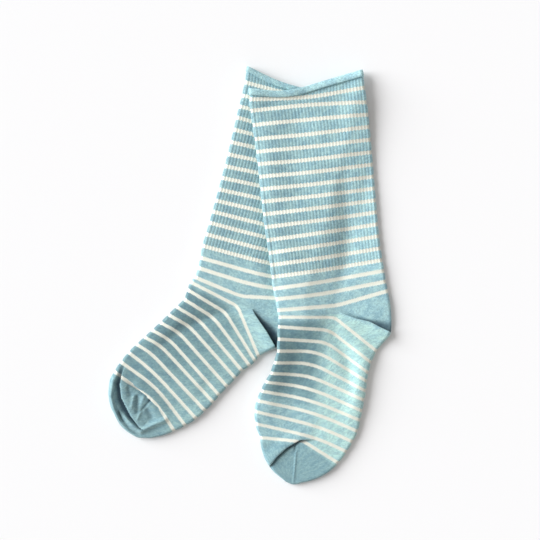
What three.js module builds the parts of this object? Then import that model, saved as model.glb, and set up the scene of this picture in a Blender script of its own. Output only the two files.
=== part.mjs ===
import * as THREE from "three";

// A pair of striped knitted socks laid flat, one crossing over the other.
// Sizes in millimetres: +X to the right, +Y towards the mouths, +Z up from the surface at z = 0.

const WALL = 1.3; // thickness of the knitted wall
const HALF_HEIGHT = 2.0; // half the height of a sock lying flat
const RIBS_ACROSS = 33; // ribs on the upper side of a leg between its rounded edges
const RIB_DEPTH = 0.35; // height of a rib above the groove beside it
const RIB_FADE_START = 13.9; // stripe number where the ribs begin to run out
const RIB_FADE_END = 14.7; // stripe number where the ankle is plain
const WELT_HEIGHT = 1.5; // how far the rolled welt stands above the leg
const WELT_UNDER = 0.4; // share of that height left under the sock's own weight
const WELT_SPREAD = 0.4; // share of that height at the two side edges
const WELT_FOOT = -0.5; // stripe number where the welt meets the leg
const WELT_FLATTENED = 0.85; // share of the lower sock's welt pressed down by the upper sock
const WELT_FLAT_START = 0.42; // share of the way across where it starts to be pressed down
const WELT_FLAT_OVER = 0.15; // share of the way across over which it goes down
const WELT_LIFT_END = 2.5; // stripe number where the leg's underside is down again
const PLAIN_ACROSS = 26; // divisions across the upper side of the ankle and foot
const UNDER_ACROSS = 15; // divisions across an underside and inside the tube
const TOE_ROUND_START = 32.3; // stripe number where the closed end starts to round off
const TOE_END = 34; // stripe number of the closed end itself
const HOLLOW_END = 32.5; // stripe number where the inside ends
const LAY_GAP = 0.75; // space left between the upper sock and the lower one
const LAY_SLOPE = 0.24; // fall per millimetre where the upper sock comes down to the surface
const LAY_MARGIN = 1.5; // how far the upper sock stays level past what it lies on
const LAY_GRID = 2.0; // grid step of the surface that the upper sock lies on
const SAMPLE_STRIPES = 0.25; // stripes between points that the upper sock is laid over
const HEEL_SAMPLE_STRIPES = 0.025; // the same at the heel, where a stripe number covers more cloth
const MOST_TURN = 0.95; // share of a course's shorter run that its rounded turn may take up
const LIP_STEP = 0.7; // half width of the steep side of a folded edge
const LIP_REACH = 9.0; // how far a folded edge slopes back to the cloth around it
const MOST_SUNK = 0.9; // how far the inside may follow a crease down
const COLOUR = 0x8fb6bf; // blue-green ground of the knit

// One row per knitted course that was measured. stripe counts the pale stripes from the mouth:
// 0 to 17 on the leg, 18 to 29 on the foot, heel pocket between 17 and 18, toe pocket after 29.
// left, bend and end are where the course starts, turns and ends. soft is the share of the
// course over which the turn is spread.
const OVER_COURSES = [
  { stripe: -1, leftX: -0.3, leftY: 121.2, bendX: 23.7, bendY: 118.2, endX: 73.1, endY: 133.7, soft: 0.15 },
  { stripe: -0.55, leftX: 0.3, leftY: 116.5, bendX: 25, bendY: 114.2, endX: 74, endY: 129, soft: 0.15 },
  { stripe: 0, leftX: -0.4, leftY: 113.9, bendX: 39.3, bendY: 114.9, endX: 75.1, endY: 121.7, soft: 0.2 },
  { stripe: 3, leftX: 2.9, leftY: 88.4, bendX: 40.6, bendY: 91.5, endX: 78.3, endY: 96.6, soft: 0.2 },
  { stripe: 6, leftX: 5.9, leftY: 64, bendX: 42.6, bendY: 67, endX: 80.5, endY: 72.3, soft: 0.2 },
  { stripe: 9, leftX: 8.4, leftY: 39.6, bendX: 44.5, bendY: 43.7, endX: 82.5, endY: 49.1, soft: 0.2 },
  { stripe: 12, leftX: 12, leftY: 14.6, bendX: 44.5, bendY: 19.2, endX: 84.6, endY: 25.7, soft: 0.2 },
  { stripe: 14, leftX: 14, leftY: -1, bendX: 45.8, bendY: 3.2, endX: 86.7, endY: 10.2, soft: 0.2 },
  { stripe: 15, leftX: 15.1, leftY: -8.6, bendX: 47.1, bendY: -4.2, endX: 87.8, endY: 3.2, soft: 0.2 },
  { stripe: 16, leftX: 16.6, leftY: -15.4, bendX: 49.1, bendY: -11.7, endX: 88.9, endY: -3.8, soft: 0.15 },
  { stripe: 17, leftX: 17.7, leftY: -22.4, bendX: 56.9, bendY: -19.4, endX: 90.4, endY: -9.8, soft: 0.06 },
  { stripe: 17.3, leftX: 18, leftY: -23.7, bendX: 58.2, bendY: -21.8, endX: 92, endY: -20.5, soft: 0.06 },
  { stripe: 17.5, leftX: 18.2, leftY: -24.6, bendX: 59.5, bendY: -23.9, endX: 92.5, endY: -30.9, soft: 0.06 },
  { stripe: 17.65, leftX: 18.3, leftY: -25.2, bendX: 59.5, bendY: -25, endX: 92, endY: -37.4, soft: 0.05 },
  { stripe: 17.85, leftX: 18.5, leftY: -26.1, bendX: 56.9, bendY: -26.3, endX: 88.1, endY: -43, soft: 0.05 },
  { stripe: 18, leftX: 18.5, leftY: -26.8, bendX: 54.9, bendY: -27, endX: 82.9, endY: -49.4, soft: 0.05 },
  { stripe: 19, leftX: 18.1, leftY: -33, bendX: 51.7, bendY: -35.4, endX: 79.3, endY: -56.7, soft: 0.08 },
  { stripe: 20, leftX: 17.9, leftY: -40.9, bendX: 49.7, bendY: -43.2, endX: 77.5, endY: -63.4, soft: 0.1 },
  { stripe: 21, leftX: 17.6, leftY: -48.6, bendX: 44.5, bendY: -49.4, endX: 76.5, endY: -68.9, soft: 0.15 },
  { stripe: 22, leftX: 15.6, leftY: -56.2, bendX: 40.6, bendY: -57.1, endX: 75.9, endY: -75.1, soft: 0.15 },
  { stripe: 23, leftX: 13.3, leftY: -63.1, bendX: 39.3, bendY: -65.3, endX: 74.8, endY: -81.1, soft: 0.15 },
  { stripe: 24, leftX: 10.1, leftY: -68.8, bendX: 39.3, bendY: -73.1, endX: 73.5, endY: -88.1, soft: 0.2 },
  { stripe: 25, leftX: 7.2, leftY: -74.8, bendX: 40.6, bendY: -81.2, endX: 72.2, endY: -94.2, soft: 0.2 },
  { stripe: 26, leftX: 4.7, leftY: -81.1, bendX: 42.6, bendY: -89.4, endX: 70.5, endY: -101.4, soft: 0.2 },
  { stripe: 27, leftX: 3.1, leftY: -88.1, bendX: 44.5, bendY: -98, endX: 67.3, endY: -108.2, soft: 0.2 },
  { stripe: 28, leftX: 3.7, leftY: -96.2, bendX: 43.2, bendY: -105.3, endX: 63.4, endY: -114.7, soft: 0.2 },
  { stripe: 29, leftX: 6.5, leftY: -105.3, bendX: 35.4, bendY: -107.9, endX: 57.9, endY: -122.1, soft: 0.05 },
  { stripe: 30, leftX: 7.8, leftY: -112.8, bendX: 32.8, bendY: -113.4, endX: 53, endY: -126.9, soft: 0.1 },
  { stripe: 31, leftX: 10.4, leftY: -120.2, bendX: 30.9, bendY: -120.6, endX: 45.8, endY: -131.4, soft: 0.1 },
  { stripe: 32, leftX: 15.3, leftY: -127.4, bendX: 29.9, bendY: -127.7, endX: 38, endY: -134.2, soft: 0.1 },
  { stripe: 33, leftX: 21.2, leftY: -132.4, bendX: 28.6, bendY: -133.2, endX: 33.5, endY: -135.1, soft: 0.1 },
  { stripe: 34, leftX: 23.6, leftY: -134.4, bendX: 28, bendY: -136.3, endX: 32.2, endY: -135.8, soft: 0.2 },
];

const UNDER_COURSES = [
  { stripe: -1, leftX: -1.3, leftY: 136.2, bendX: 27.6, bendY: 121.9, endX: 69.9, endY: 118.6, soft: 0.25 },
  { stripe: -0.55, leftX: -2.1, leftY: 132.9, bendX: 19.8, bendY: 120.6, endX: 69.2, endY: 114.4, soft: 0.2 },
  { stripe: 0, leftX: -3.4, leftY: 125.8, bendX: 23.1, bendY: 118.6, endX: 68.2, endY: 110.2, soft: 0.2 },
  { stripe: 3, leftX: -8.8, leftY: 103, bendX: 26.3, bendY: 93.9, endX: 63.1, endY: 87.4, soft: 0.2 },
  { stripe: 6, leftX: -14.5, leftY: 79, bendX: 21.8, bendY: 71.6, endX: 57.2, endY: 63.7, soft: 0.2 },
  { stripe: 9, leftX: -20.5, leftY: 56.2, bendX: 16.6, bendY: 48.1, endX: 51.4, endY: 41, soft: 0.2 },
  { stripe: 12, leftX: -26.5, leftY: 34.5, bendX: 10.1, bendY: 24.8, endX: 45.5, endY: 18.2, soft: 0.2 },
  { stripe: 14, leftX: -30.9, leftY: 19.5, bendX: 8.1, bendY: 8.9, endX: 40.3, endY: 2.6, soft: 0.2 },
  { stripe: 15, leftX: -32.2, leftY: 11.7, bendX: 8.1, bendY: 0.3, endX: 38.4, endY: -4.5, soft: 0.2 },
  { stripe: 16, leftX: -33.6, leftY: 5.1, bendX: 1.6, bendY: -6, endX: 36.7, endY: -11.1, soft: 0.15 },
  { stripe: 17, leftX: -35.8, leftY: -1, bendX: -5.9, bendY: -13.5, endX: 35.4, endY: -15.6, soft: 0.05 },
  { stripe: 17.3, leftX: -36.5, leftY: -1.8, bendX: -4.2, bendY: -15.3, endX: 37.4, endY: -23.1, soft: 0.06 },
  { stripe: 17.5, leftX: -37.2, leftY: -2.4, bendX: -2.3, bendY: -17.6, endX: 34.8, endY: -33.5, soft: 0.06 },
  { stripe: 17.65, leftX: -37.7, leftY: -2.9, bendX: -1, bendY: -20.5, endX: 18.9, endY: -46.1, soft: 0.05 },
  { stripe: 17.85, leftX: -38.2, leftY: -3.4, bendX: -5.5, bendY: -19.8, endX: 12.3, endY: -49.4, soft: 0.05 },
  { stripe: 18, leftX: -38.7, leftY: -4, bendX: -7.9, bendY: -19.8, endX: 6, endY: -53, soft: 0.05 },
  { stripe: 19, leftX: -40.4, leftY: -9.1, bendX: -15.9, bendY: -23.9, endX: 3.8, endY: -55.8, soft: 0.06 },
  { stripe: 20, leftX: -42.8, leftY: -15.1, bendX: -23.1, bendY: -27.6, endX: 0.3, endY: -59, soft: 0.1 },
  { stripe: 21, leftX: -47.8, leftY: -20.2, bendX: -32.8, bendY: -28.9, endX: -4.7, endY: -62.1, soft: 0.12 },
  { stripe: 22, leftX: -53, leftY: -25.2, bendX: -39.3, bendY: -32.8, endX: -9, endY: -67, soft: 0.12 },
  { stripe: 23, leftX: -58.2, leftY: -30.4, bendX: -46.5, bendY: -36.4, endX: -14.3, endY: -72.5, soft: 0.12 },
  { stripe: 24, leftX: -63.6, leftY: -35.4, bendX: -52.6, bendY: -41, endX: -19.6, endY: -78.1, soft: 0.12 },
  { stripe: 25, leftX: -68.6, leftY: -40, bendX: -58.8, bendY: -44.5, endX: -23.4, endY: -82.7, soft: 0.12 },
  { stripe: 26, leftX: -73.8, leftY: -44.7, bendX: -65.3, bendY: -49.1, endX: -28.7, endY: -88.1, soft: 0.12 },
  { stripe: 27, leftX: -79, leftY: -49.9, bendX: -64.7, bendY: -60.1, endX: -34.5, endY: -93.3, soft: 0.25 },
  { stripe: 28, leftX: -83.9, leftY: -56, bendX: -60.8, bendY: -72.5, endX: -41.6, endY: -97.8, soft: 0.2 },
  { stripe: 29, leftX: -88.2, leftY: -62.3, bendX: -61.4, bendY: -81.6, endX: -48.9, endY: -101.3, soft: 0.12 },
  { stripe: 30, leftX: -91.3, leftY: -69.2, bendX: -69.9, bendY: -86.1, endX: -56.9, endY: -104.3, soft: 0.1 },
  { stripe: 31, leftX: -92, leftY: -77, bendX: -76.4, bendY: -90, endX: -65.3, endY: -105.9, soft: 0.1 },
  { stripe: 32, leftX: -90.7, leftY: -84.8, bendX: -80, bendY: -93, endX: -71.8, endY: -105.7, soft: 0.1 },
  { stripe: 33, leftX: -88.1, leftY: -90.4, bendX: -82.9, bendY: -95.6, endX: -77.7, endY: -103, soft: 0.1 },
  { stripe: 34, leftX: -86.8, leftY: -93.3, bendX: -84.2, bendY: -97.8, endX: -80, endY: -101.6, soft: 0.2 },
];

// Folded edges that stand up from the cloth beside them. Rows of one fold run in order, and the
// raised cloth is on the right hand along them. dip is how far the cloth on the left hand is drawn
// down at the edge, and width how far out that is felt.
const OVER_LIPS = [
  { fold: "heel", x: 58.5, y: -23.4, rise: 0.0, dip: 0.0, width: 2.0 },
  { fold: "heel", x: 63.4, y: -25.7, rise: 0.5, dip: 0.2, width: 2.0 },
  { fold: "heel", x: 69.2, y: -28.0, rise: 1.0, dip: 0.4, width: 2.0 },
  { fold: "heel", x: 78.4, y: -30.2, rise: 1.3, dip: 0.7, width: 1.6 },
  { fold: "heel", x: 84.8, y: -33.7, rise: 1.6, dip: 0.7, width: 4.4 },
  { fold: "heel", x: 91.9, y: -37.0, rise: 1.6, dip: 0.7, width: 6.0 },
  { fold: "toe seam", x: 42.0, y: -106.8, rise: 0.0, dip: 0.2, width: 1.2 },
  { fold: "toe seam", x: 33.0, y: -106.9, rise: 1.0, dip: 0.8, width: 1.7 },
  { fold: "toe seam", x: 23.8, y: -112.2, rise: 1.6, dip: 0.8, width: 1.5 },
  { fold: "toe seam", x: 17.8, y: -117.8, rise: 1.6, dip: 0.8, width: 1.3 },
  { fold: "toe seam", x: 12.9, y: -124.4, rise: 1.4, dip: 0.6, width: 0.9 },
];

const UNDER_LIPS = [
  { fold: "heel", x: 1.6, y: -21.1, rise: 0.0, dip: 0.0, width: 2.0 },
  { fold: "heel", x: 3.4, y: -25.0, rise: 0.8, dip: 0.6, width: 2.0 },
  { fold: "heel", x: 6.7, y: -30.2, rise: 1.3, dip: 0.8, width: 3.0 },
  { fold: "heel", x: 11.2, y: -36.7, rise: 1.6, dip: 0.9, width: 6.0 },
  { fold: "heel", x: 16.4, y: -45.8, rise: 1.6, dip: 1.0, width: 6.5 },
  { fold: "toe pocket", x: -66.0, y: -101.5, rise: 0.0, dip: 0.0, width: 1.0 },
  { fold: "toe pocket", x: -70.9, y: -99.1, rise: 1.3, dip: 0.8, width: 1.2 },
  { fold: "toe pocket", x: -75.2, y: -93.4, rise: 1.7, dip: 0.9, width: 2.0 },
  { fold: "toe pocket", x: -77.5, y: -90.3, rise: 1.7, dip: 0.9, width: 3.0 },
  { fold: "toe pocket", x: -79.8, y: -86.0, rise: 1.7, dip: 0.9, width: 4.2 },
  { fold: "toe pocket", x: -82.9, y: -79.6, rise: 1.7, dip: 0.9, width: 3.7 },
  { fold: "toe pocket", x: -84.2, y: -70.5, rise: 1.5, dip: 0.9, width: 3.2 },
  { fold: "toe pocket", x: -82.8, y: -63.5, rise: 0.8, dip: 0.6, width: 2.4 },
  { fold: "toe pocket", x: -81.0, y: -58.5, rise: 0.0, dip: 0.0, width: 1.5 },
  { fold: "toe line", x: -53.0, y: -92.0, rise: 0.0, dip: 0.0, width: 2.0 },
  { fold: "toe line", x: -64.0, y: -81.2, rise: 1.2, dip: 0.4, width: 1.8 },
  { fold: "toe line", x: -73.5, y: -72.5, rise: 1.1, dip: 0.4, width: 1.8 },
  { fold: "toe line", x: -80.5, y: -66.0, rise: 0.0, dip: 0.0, width: 2.0 },
];

// Soft creases in the upper cloth. Rows of one crease run in order. height is down when negative,
// and reach is how far to each side it is felt.
const OVER_CREASES = [
  { crease: "instep", x: 50.4, y: -27.6, height: -0.2, reach: 4 },
  { crease: "instep", x: 47.1, y: -38.7, height: -0.35, reach: 5 },
  { crease: "instep", x: 32.8, y: -51.7, height: -0.35, reach: 6 },
  { crease: "instep", x: 21.8, y: -71.2, height: -0.3, reach: 6 },
  { crease: "instep", x: 15.3, y: -95.2, height: 0.0, reach: 5 },
  { crease: "sole side", x: 51.0, y: -27.6, height: -0.2, reach: 5.0 },
  { crease: "sole side", x: 62.1, y: -49.7, height: -0.9, reach: 6.0 },
  { crease: "sole side", x: 65.3, y: -61.4, height: -0.9, reach: 6.0 },
  { crease: "sole side", x: 66.0, y: -75.0, height: -0.4, reach: 6.0 },
  { crease: "sole side", x: 64.0, y: -88.0, height: 0.0, reach: 5.0 },
  { crease: "arch", x: 36.0, y: -28.0, height: 0.0, reach: 12.0 },
  { crease: "arch", x: 31.0, y: -48.0, height: -0.9, reach: 13.0 },
  { crease: "arch", x: 27.0, y: -76.0, height: -0.9, reach: 12.0 },
  { crease: "arch", x: 24.0, y: -100.0, height: 0.0, reach: 11.0 },
  { crease: "outer edge", x: 57.0, y: -36.0, height: 0.0, reach: 8.0 },
  { crease: "outer edge", x: 70.0, y: -45.0, height: 1.0, reach: 8.0 },
  { crease: "outer edge", x: 74.0, y: -55.0, height: 1.7, reach: 8.0 },
  { crease: "outer edge", x: 71.0, y: -70.0, height: 1.7, reach: 8.0 },
  { crease: "outer edge", x: 68.5, y: -85.0, height: 1.4, reach: 8.0 },
  { crease: "outer edge", x: 62.0, y: -102.0, height: 0.0, reach: 8.0 },
  { crease: "instep edge", x: 22.0, y: -30.0, height: 0.0, reach: 12.0 },
  { crease: "instep edge", x: 19.0, y: -48.0, height: 1.1, reach: 12.0 },
  { crease: "instep edge", x: 13.5, y: -70.0, height: 1.4, reach: 12.0 },
  { crease: "instep edge", x: 9.0, y: -88.0, height: 1.0, reach: 12.0 },
  { crease: "instep edge", x: 9.0, y: -102.0, height: 0.0, reach: 12.0 },
  { crease: "ball", x: 47.1, y: -90.7, height: 0.0, reach: 4 },
  { crease: "ball", x: 45.5, y: -98.5, height: -0.35, reach: 5 },
  { crease: "ball", x: 42.3, y: -106.6, height: 0.0, reach: 4 },
  { crease: "calf", x: 66.6, y: 49.1, height: 0.0, reach: 5 },
  { crease: "calf", x: 64.0, y: 29.0, height: -0.3, reach: 6 },
  { crease: "calf", x: 62.1, y: 10.1, height: 0.0, reach: 5 },
  { crease: "shin", x: 13.0, y: 113.8, height: -0.3, reach: 8 },
  { crease: "shin", x: 14.3, y: 94.3, height: 0.0, reach: 8 },
];

const UNDER_CREASES = [
  { crease: "instep", x: -8.1, y: -19.8, height: -0.2, reach: 4.0 },
  { crease: "instep", x: -24.4, y: -26.7, height: -0.8, reach: 5.0 },
  { crease: "instep", x: -42.6, y: -34.0, height: -0.9, reach: 5.5 },
  { crease: "instep", x: -53.6, y: -42.0, height: -0.6, reach: 5.0 },
  { crease: "instep", x: -65.3, y: -52.0, height: 0.0, reach: 4.0 },
  { crease: "toe rim", x: -83.5, y: -60.5, height: 0.0, reach: 2.0 },
  { crease: "toe rim", x: -88.5, y: -68.0, height: 1.0, reach: 2.2 },
  { crease: "toe rim", x: -90.0, y: -78.0, height: 1.5, reach: 2.2 },
  { crease: "toe rim", x: -88.2, y: -86.0, height: 1.5, reach: 2.0 },
  { crease: "toe rim", x: -84.5, y: -94.0, height: 1.0, reach: 1.7 },
  { crease: "toe rim", x: -79.5, y: -100.0, height: 0.6, reach: 1.5 },
  { crease: "toe rim", x: -73.0, y: -103.6, height: 0.0, reach: 1.5 },
  { crease: "tongue", x: -82.0, y: -89.5, height: 0.0, reach: 1.6 },
  { crease: "tongue", x: -79.6, y: -92.8, height: 1.3, reach: 1.8 },
  { crease: "tongue", x: -76.0, y: -97.0, height: 1.5, reach: 2.2 },
  { crease: "tongue", x: -70.5, y: -101.2, height: 1.2, reach: 2.4 },
  { crease: "tongue", x: -62.7, y: -97.5, height: 1.0, reach: 2.4 },
  { crease: "tongue", x: -54.9, y: -93.9, height: 0.5, reach: 2.4 },
  { crease: "instep edge", x: -30.0, y: 0.0, height: 0.0, reach: 12.0 },
  { crease: "instep edge", x: -32.0, y: -12.0, height: 1.1, reach: 12.0 },
  { crease: "instep edge", x: -48.4, y: -28.9, height: 1.4, reach: 12.0 },
  { crease: "instep edge", x: -64.0, y: -44.0, height: 1.0, reach: 12.0 },
  { crease: "instep edge", x: -72.0, y: -54.0, height: 0.0, reach: 12.0 },
  { crease: "sole", x: -16.6, y: -51.0, height: 0.0, reach: 4 },
  { crease: "sole", x: -30.2, y: -75.7, height: -0.35, reach: 5 },
  { crease: "sole", x: -43.9, y: -90.0, height: 0.0, reach: 5 },
];

// Courses that carry a ring of points on the outside of the welt, from the mouth down.
const WELT_PROFILE = [
  { stripe: -1.0, share: -0.05 },
  { stripe: -0.94, share: 0.65 },
  { stripe: -0.77, share: 1.0 },
  { stripe: -0.62, share: 0.7 },
  { stripe: WELT_FOOT, share: 0.0 },
];

function smooth(value) {
  const v = Math.min(1, Math.max(0, value));
  return v * v * (3 - 2 * v);
}

function slopes(xs, ys) {
  const count = xs.length;
  const secants = [];
  for (let i = 0; i + 1 < count; i += 1) {
    secants.push((ys[i + 1] - ys[i]) / (xs[i + 1] - xs[i]));
  }
  const out = [secants[0]];
  for (let i = 1; i + 1 < count; i += 1) {
    const before = secants[i - 1];
    const after = secants[i];
    if (before * after <= 0) {
      out.push(0);
    } else {
      const first = 2 * (xs[i + 1] - xs[i]) + (xs[i] - xs[i - 1]);
      const second = xs[i + 1] - xs[i] + 2 * (xs[i] - xs[i - 1]);
      out.push((first + second) / (first / before + second / after));
    }
  }
  out.push(secants[count - 2]);
  return out;
}

function makeColumns(rows) {
  const stripes = rows.map((row) => row.stripe);
  const columns = {};
  for (const key of ["leftX", "leftY", "bendX", "bendY", "endX", "endY", "soft"]) {
    const values = rows.map((row) => row[key]);
    columns[key] = { values, slopes: slopes(stripes, values) };
  }
  return { stripes, columns };
}

function columnAt(table, key, stripe) {
  const { stripes, columns } = table;
  const last = stripes.length - 2;
  let i = 0;
  while (i < last && stripe > stripes[i + 1]) {
    i += 1;
  }
  const step = stripes[i + 1] - stripes[i];
  const u = Math.min(1, Math.max(0, (stripe - stripes[i]) / step));
  const { values, slopes: tangent } = columns[key];
  const square = u * u;
  const cube = square * u;
  return (
    values[i] * (2 * cube - 3 * square + 1) +
    tangent[i] * step * (cube - 2 * square + u) +
    values[i + 1] * (3 * square - 2 * cube) +
    tangent[i + 1] * step * (cube - square)
  );
}

// The course at one stripe number: two straight runs with the turn between them rounded.
function courseAt(table, stripe) {
  const at = (key) => columnAt(table, key, stripe);
  const left = { x: at("leftX"), y: at("leftY") };
  const bend = { x: at("bendX"), y: at("bendY") };
  const right = { x: at("endX"), y: at("endY") };
  const first = Math.hypot(bend.x - left.x, bend.y - left.y);
  const second = Math.hypot(right.x - bend.x, right.y - bend.y);
  const length = first + second;
  const half = Math.min(at("soft") * length, MOST_TURN * first, MOST_TURN * second);
  const from = { x: (bend.x - left.x) / first, y: (bend.y - left.y) / first };
  const to = { x: (right.x - bend.x) / second, y: (right.y - bend.y) / second };
  return { left, bend, from, to, first, length, half };
}

function pointOn(course, along) {
  const { left, bend, from, to, first, half } = course;
  if (along < first - half) {
    return { x: left.x + from.x * along, y: left.y + from.y * along };
  }
  if (along > first + half) {
    const past = along - first;
    return { x: bend.x + to.x * past, y: bend.y + to.y * past };
  }
  const start = first - half;
  const inside = along - start;
  const blend = (inside * inside) / (4 * half);
  return {
    x: left.x + from.x * (start + inside - blend) + to.x * blend,
    y: left.y + from.y * (start + inside - blend) + to.y * blend,
  };
}

// Places across a flattened tube: height is 0 at the side edges and 1 where the cloth is level.
function placesAcross(length, radius, divisions, edgeAngles) {
  const places = [];
  for (const angle of edgeAngles) {
    const along = radius * (1 - Math.cos(angle));
    places.push({ along, height: Math.sin(angle), step: -1 });
  }
  for (let i = 0; i <= divisions; i += 1) {
    const along = radius + ((length - 2 * radius) * i) / divisions;
    places.push({ along, height: 1, step: i });
  }
  for (const angle of [...edgeAngles].reverse()) {
    const along = length - radius * (1 - Math.cos(angle));
    places.push({ along, height: Math.sin(angle), step: -1 });
  }
  return places;
}

// Distance to a run of table rows, on which side, and the rows' values at the nearest place.
function nearest(rows, x, y, keys) {
  let best = null;
  for (let i = 0; i + 1 < rows.length; i += 1) {
    const dx = rows[i + 1].x - rows[i].x;
    const dy = rows[i + 1].y - rows[i].y;
    const share = ((x - rows[i].x) * dx + (y - rows[i].y) * dy) / (dx * dx + dy * dy);
    const u = Math.min(1, Math.max(0, share));
    const offX = x - rows[i].x - dx * u;
    const offY = y - rows[i].y - dy * u;
    const distance = Math.hypot(offX, offY);
    if (best === null || distance < best.distance) {
      best = { distance, right: offX * dy - offY * dx > 0 };
      for (const key of keys) {
        best[key] = rows[i][key] + (rows[i + 1][key] - rows[i][key]) * u;
      }
    }
  }
  return best;
}

function groupRows(rows, key) {
  const groups = new Map();
  for (const row of rows) {
    if (!groups.has(row[key])) {
      groups.set(row[key], []);
    }
    groups.get(row[key]).push(row);
  }
  return [...groups.values()];
}

function reliefOf(lips, creases) {
  const lipRuns = groupRows(lips, "fold");
  const creaseRuns = groupRows(creases, "crease");
  return (x, y) => {
    let height = 0;
    for (const run of lipRuns) {
      const near = nearest(run, x, y, ["rise", "dip", "width"]);
      const signed = near.right ? near.distance : -near.distance;
      const up = smooth((signed + LIP_STEP) / (2 * LIP_STEP));
      const back = 1 - smooth((near.distance - LIP_STEP) / LIP_REACH);
      const share = near.distance / near.width;
      height += near.rise * up * back - near.dip * (1 - up) * Math.exp(-(share ** 4));
    }
    for (const run of creaseRuns) {
      const near = nearest(run, x, y, ["height", "reach"]);
      const share = near.distance / near.reach;
      height += near.height * Math.exp(-2 * share * share);
    }
    return height;
  };
}

// The surface that the upper sock lies on, from points on top of the lower one.
function layOver(points, box) {
  const columns = Math.ceil((box.max.x - box.min.x) / LAY_GRID) + 1;
  const rows = Math.ceil((box.max.y - box.min.y) / LAY_GRID) + 1;
  const raw = new Float64Array(columns * rows);
  for (let j = 0; j < rows; j += 1) {
    for (let i = 0; i < columns; i += 1) {
      const x = box.min.x + i * LAY_GRID;
      const y = box.min.y + j * LAY_GRID;
      let height = 0;
      for (const p of points) {
        const away = Math.max(0, Math.hypot(p.x - x, p.y - y) - LAY_MARGIN);
        height = Math.max(height, p.z + LAY_GAP - LAY_SLOPE * away);
      }
      raw[j * columns + i] = height;
    }
  }
  const at = (i, j) => {
    const column = Math.min(columns - 1, Math.max(0, i));
    const row = Math.min(rows - 1, Math.max(0, j));
    return raw[row * columns + column];
  };
  return (x, y) => {
    const u = (x - box.min.x) / LAY_GRID;
    const v = (y - box.min.y) / LAY_GRID;
    const i = Math.floor(u);
    const j = Math.floor(v);
    const fx = u - i;
    const fy = v - j;
    const near = at(i, j) * (1 - fx) + at(i + 1, j) * fx;
    const far = at(i, j + 1) * (1 - fx) + at(i + 1, j + 1) * fx;
    return near * (1 - fy) + far * fy;
  };
}

class Skin {
  constructor() {
    this.points = [];
    this.faces = [];
  }

  add(x, y, z) {
    this.points.push({ x, y, z });
    return this.points.length - 1;
  }

  // Fills the strip between two runs of points, each with its share of the way across.
  strip(upper, lower, flip) {
    let i = 0;
    let j = 0;
    while (i + 1 < upper.length || j + 1 < lower.length) {
      const stepUpper =
        j + 1 === lower.length ||
        (i + 1 < upper.length && upper[i + 1].share + upper[i].share <= lower[j + 1].share + lower[j].share);
      const next = stepUpper ? upper[i + 1].index : lower[j + 1].index;
      const face = [upper[i].index, lower[j].index, next];
      if (new Set(face).size === 3) {
        this.faces.push(flip ? [face[0], face[2], face[1]] : face);
      }
      if (stepUpper) {
        i += 1;
      } else {
        j += 1;
      }
    }
  }

  geometry() {
    const positions = this.points.flatMap((p) => [p.x, p.y, p.z]);
    const geometry = new THREE.BufferGeometry();
    geometry.setAttribute("position", new THREE.Float32BufferAttribute(positions, 3));
    geometry.setIndex(this.faces.flat());
    geometry.computeVertexNormals();
    return geometry;
  }
}

const ROUND = [0, Math.PI / 4];
const SHARP = [0];

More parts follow.
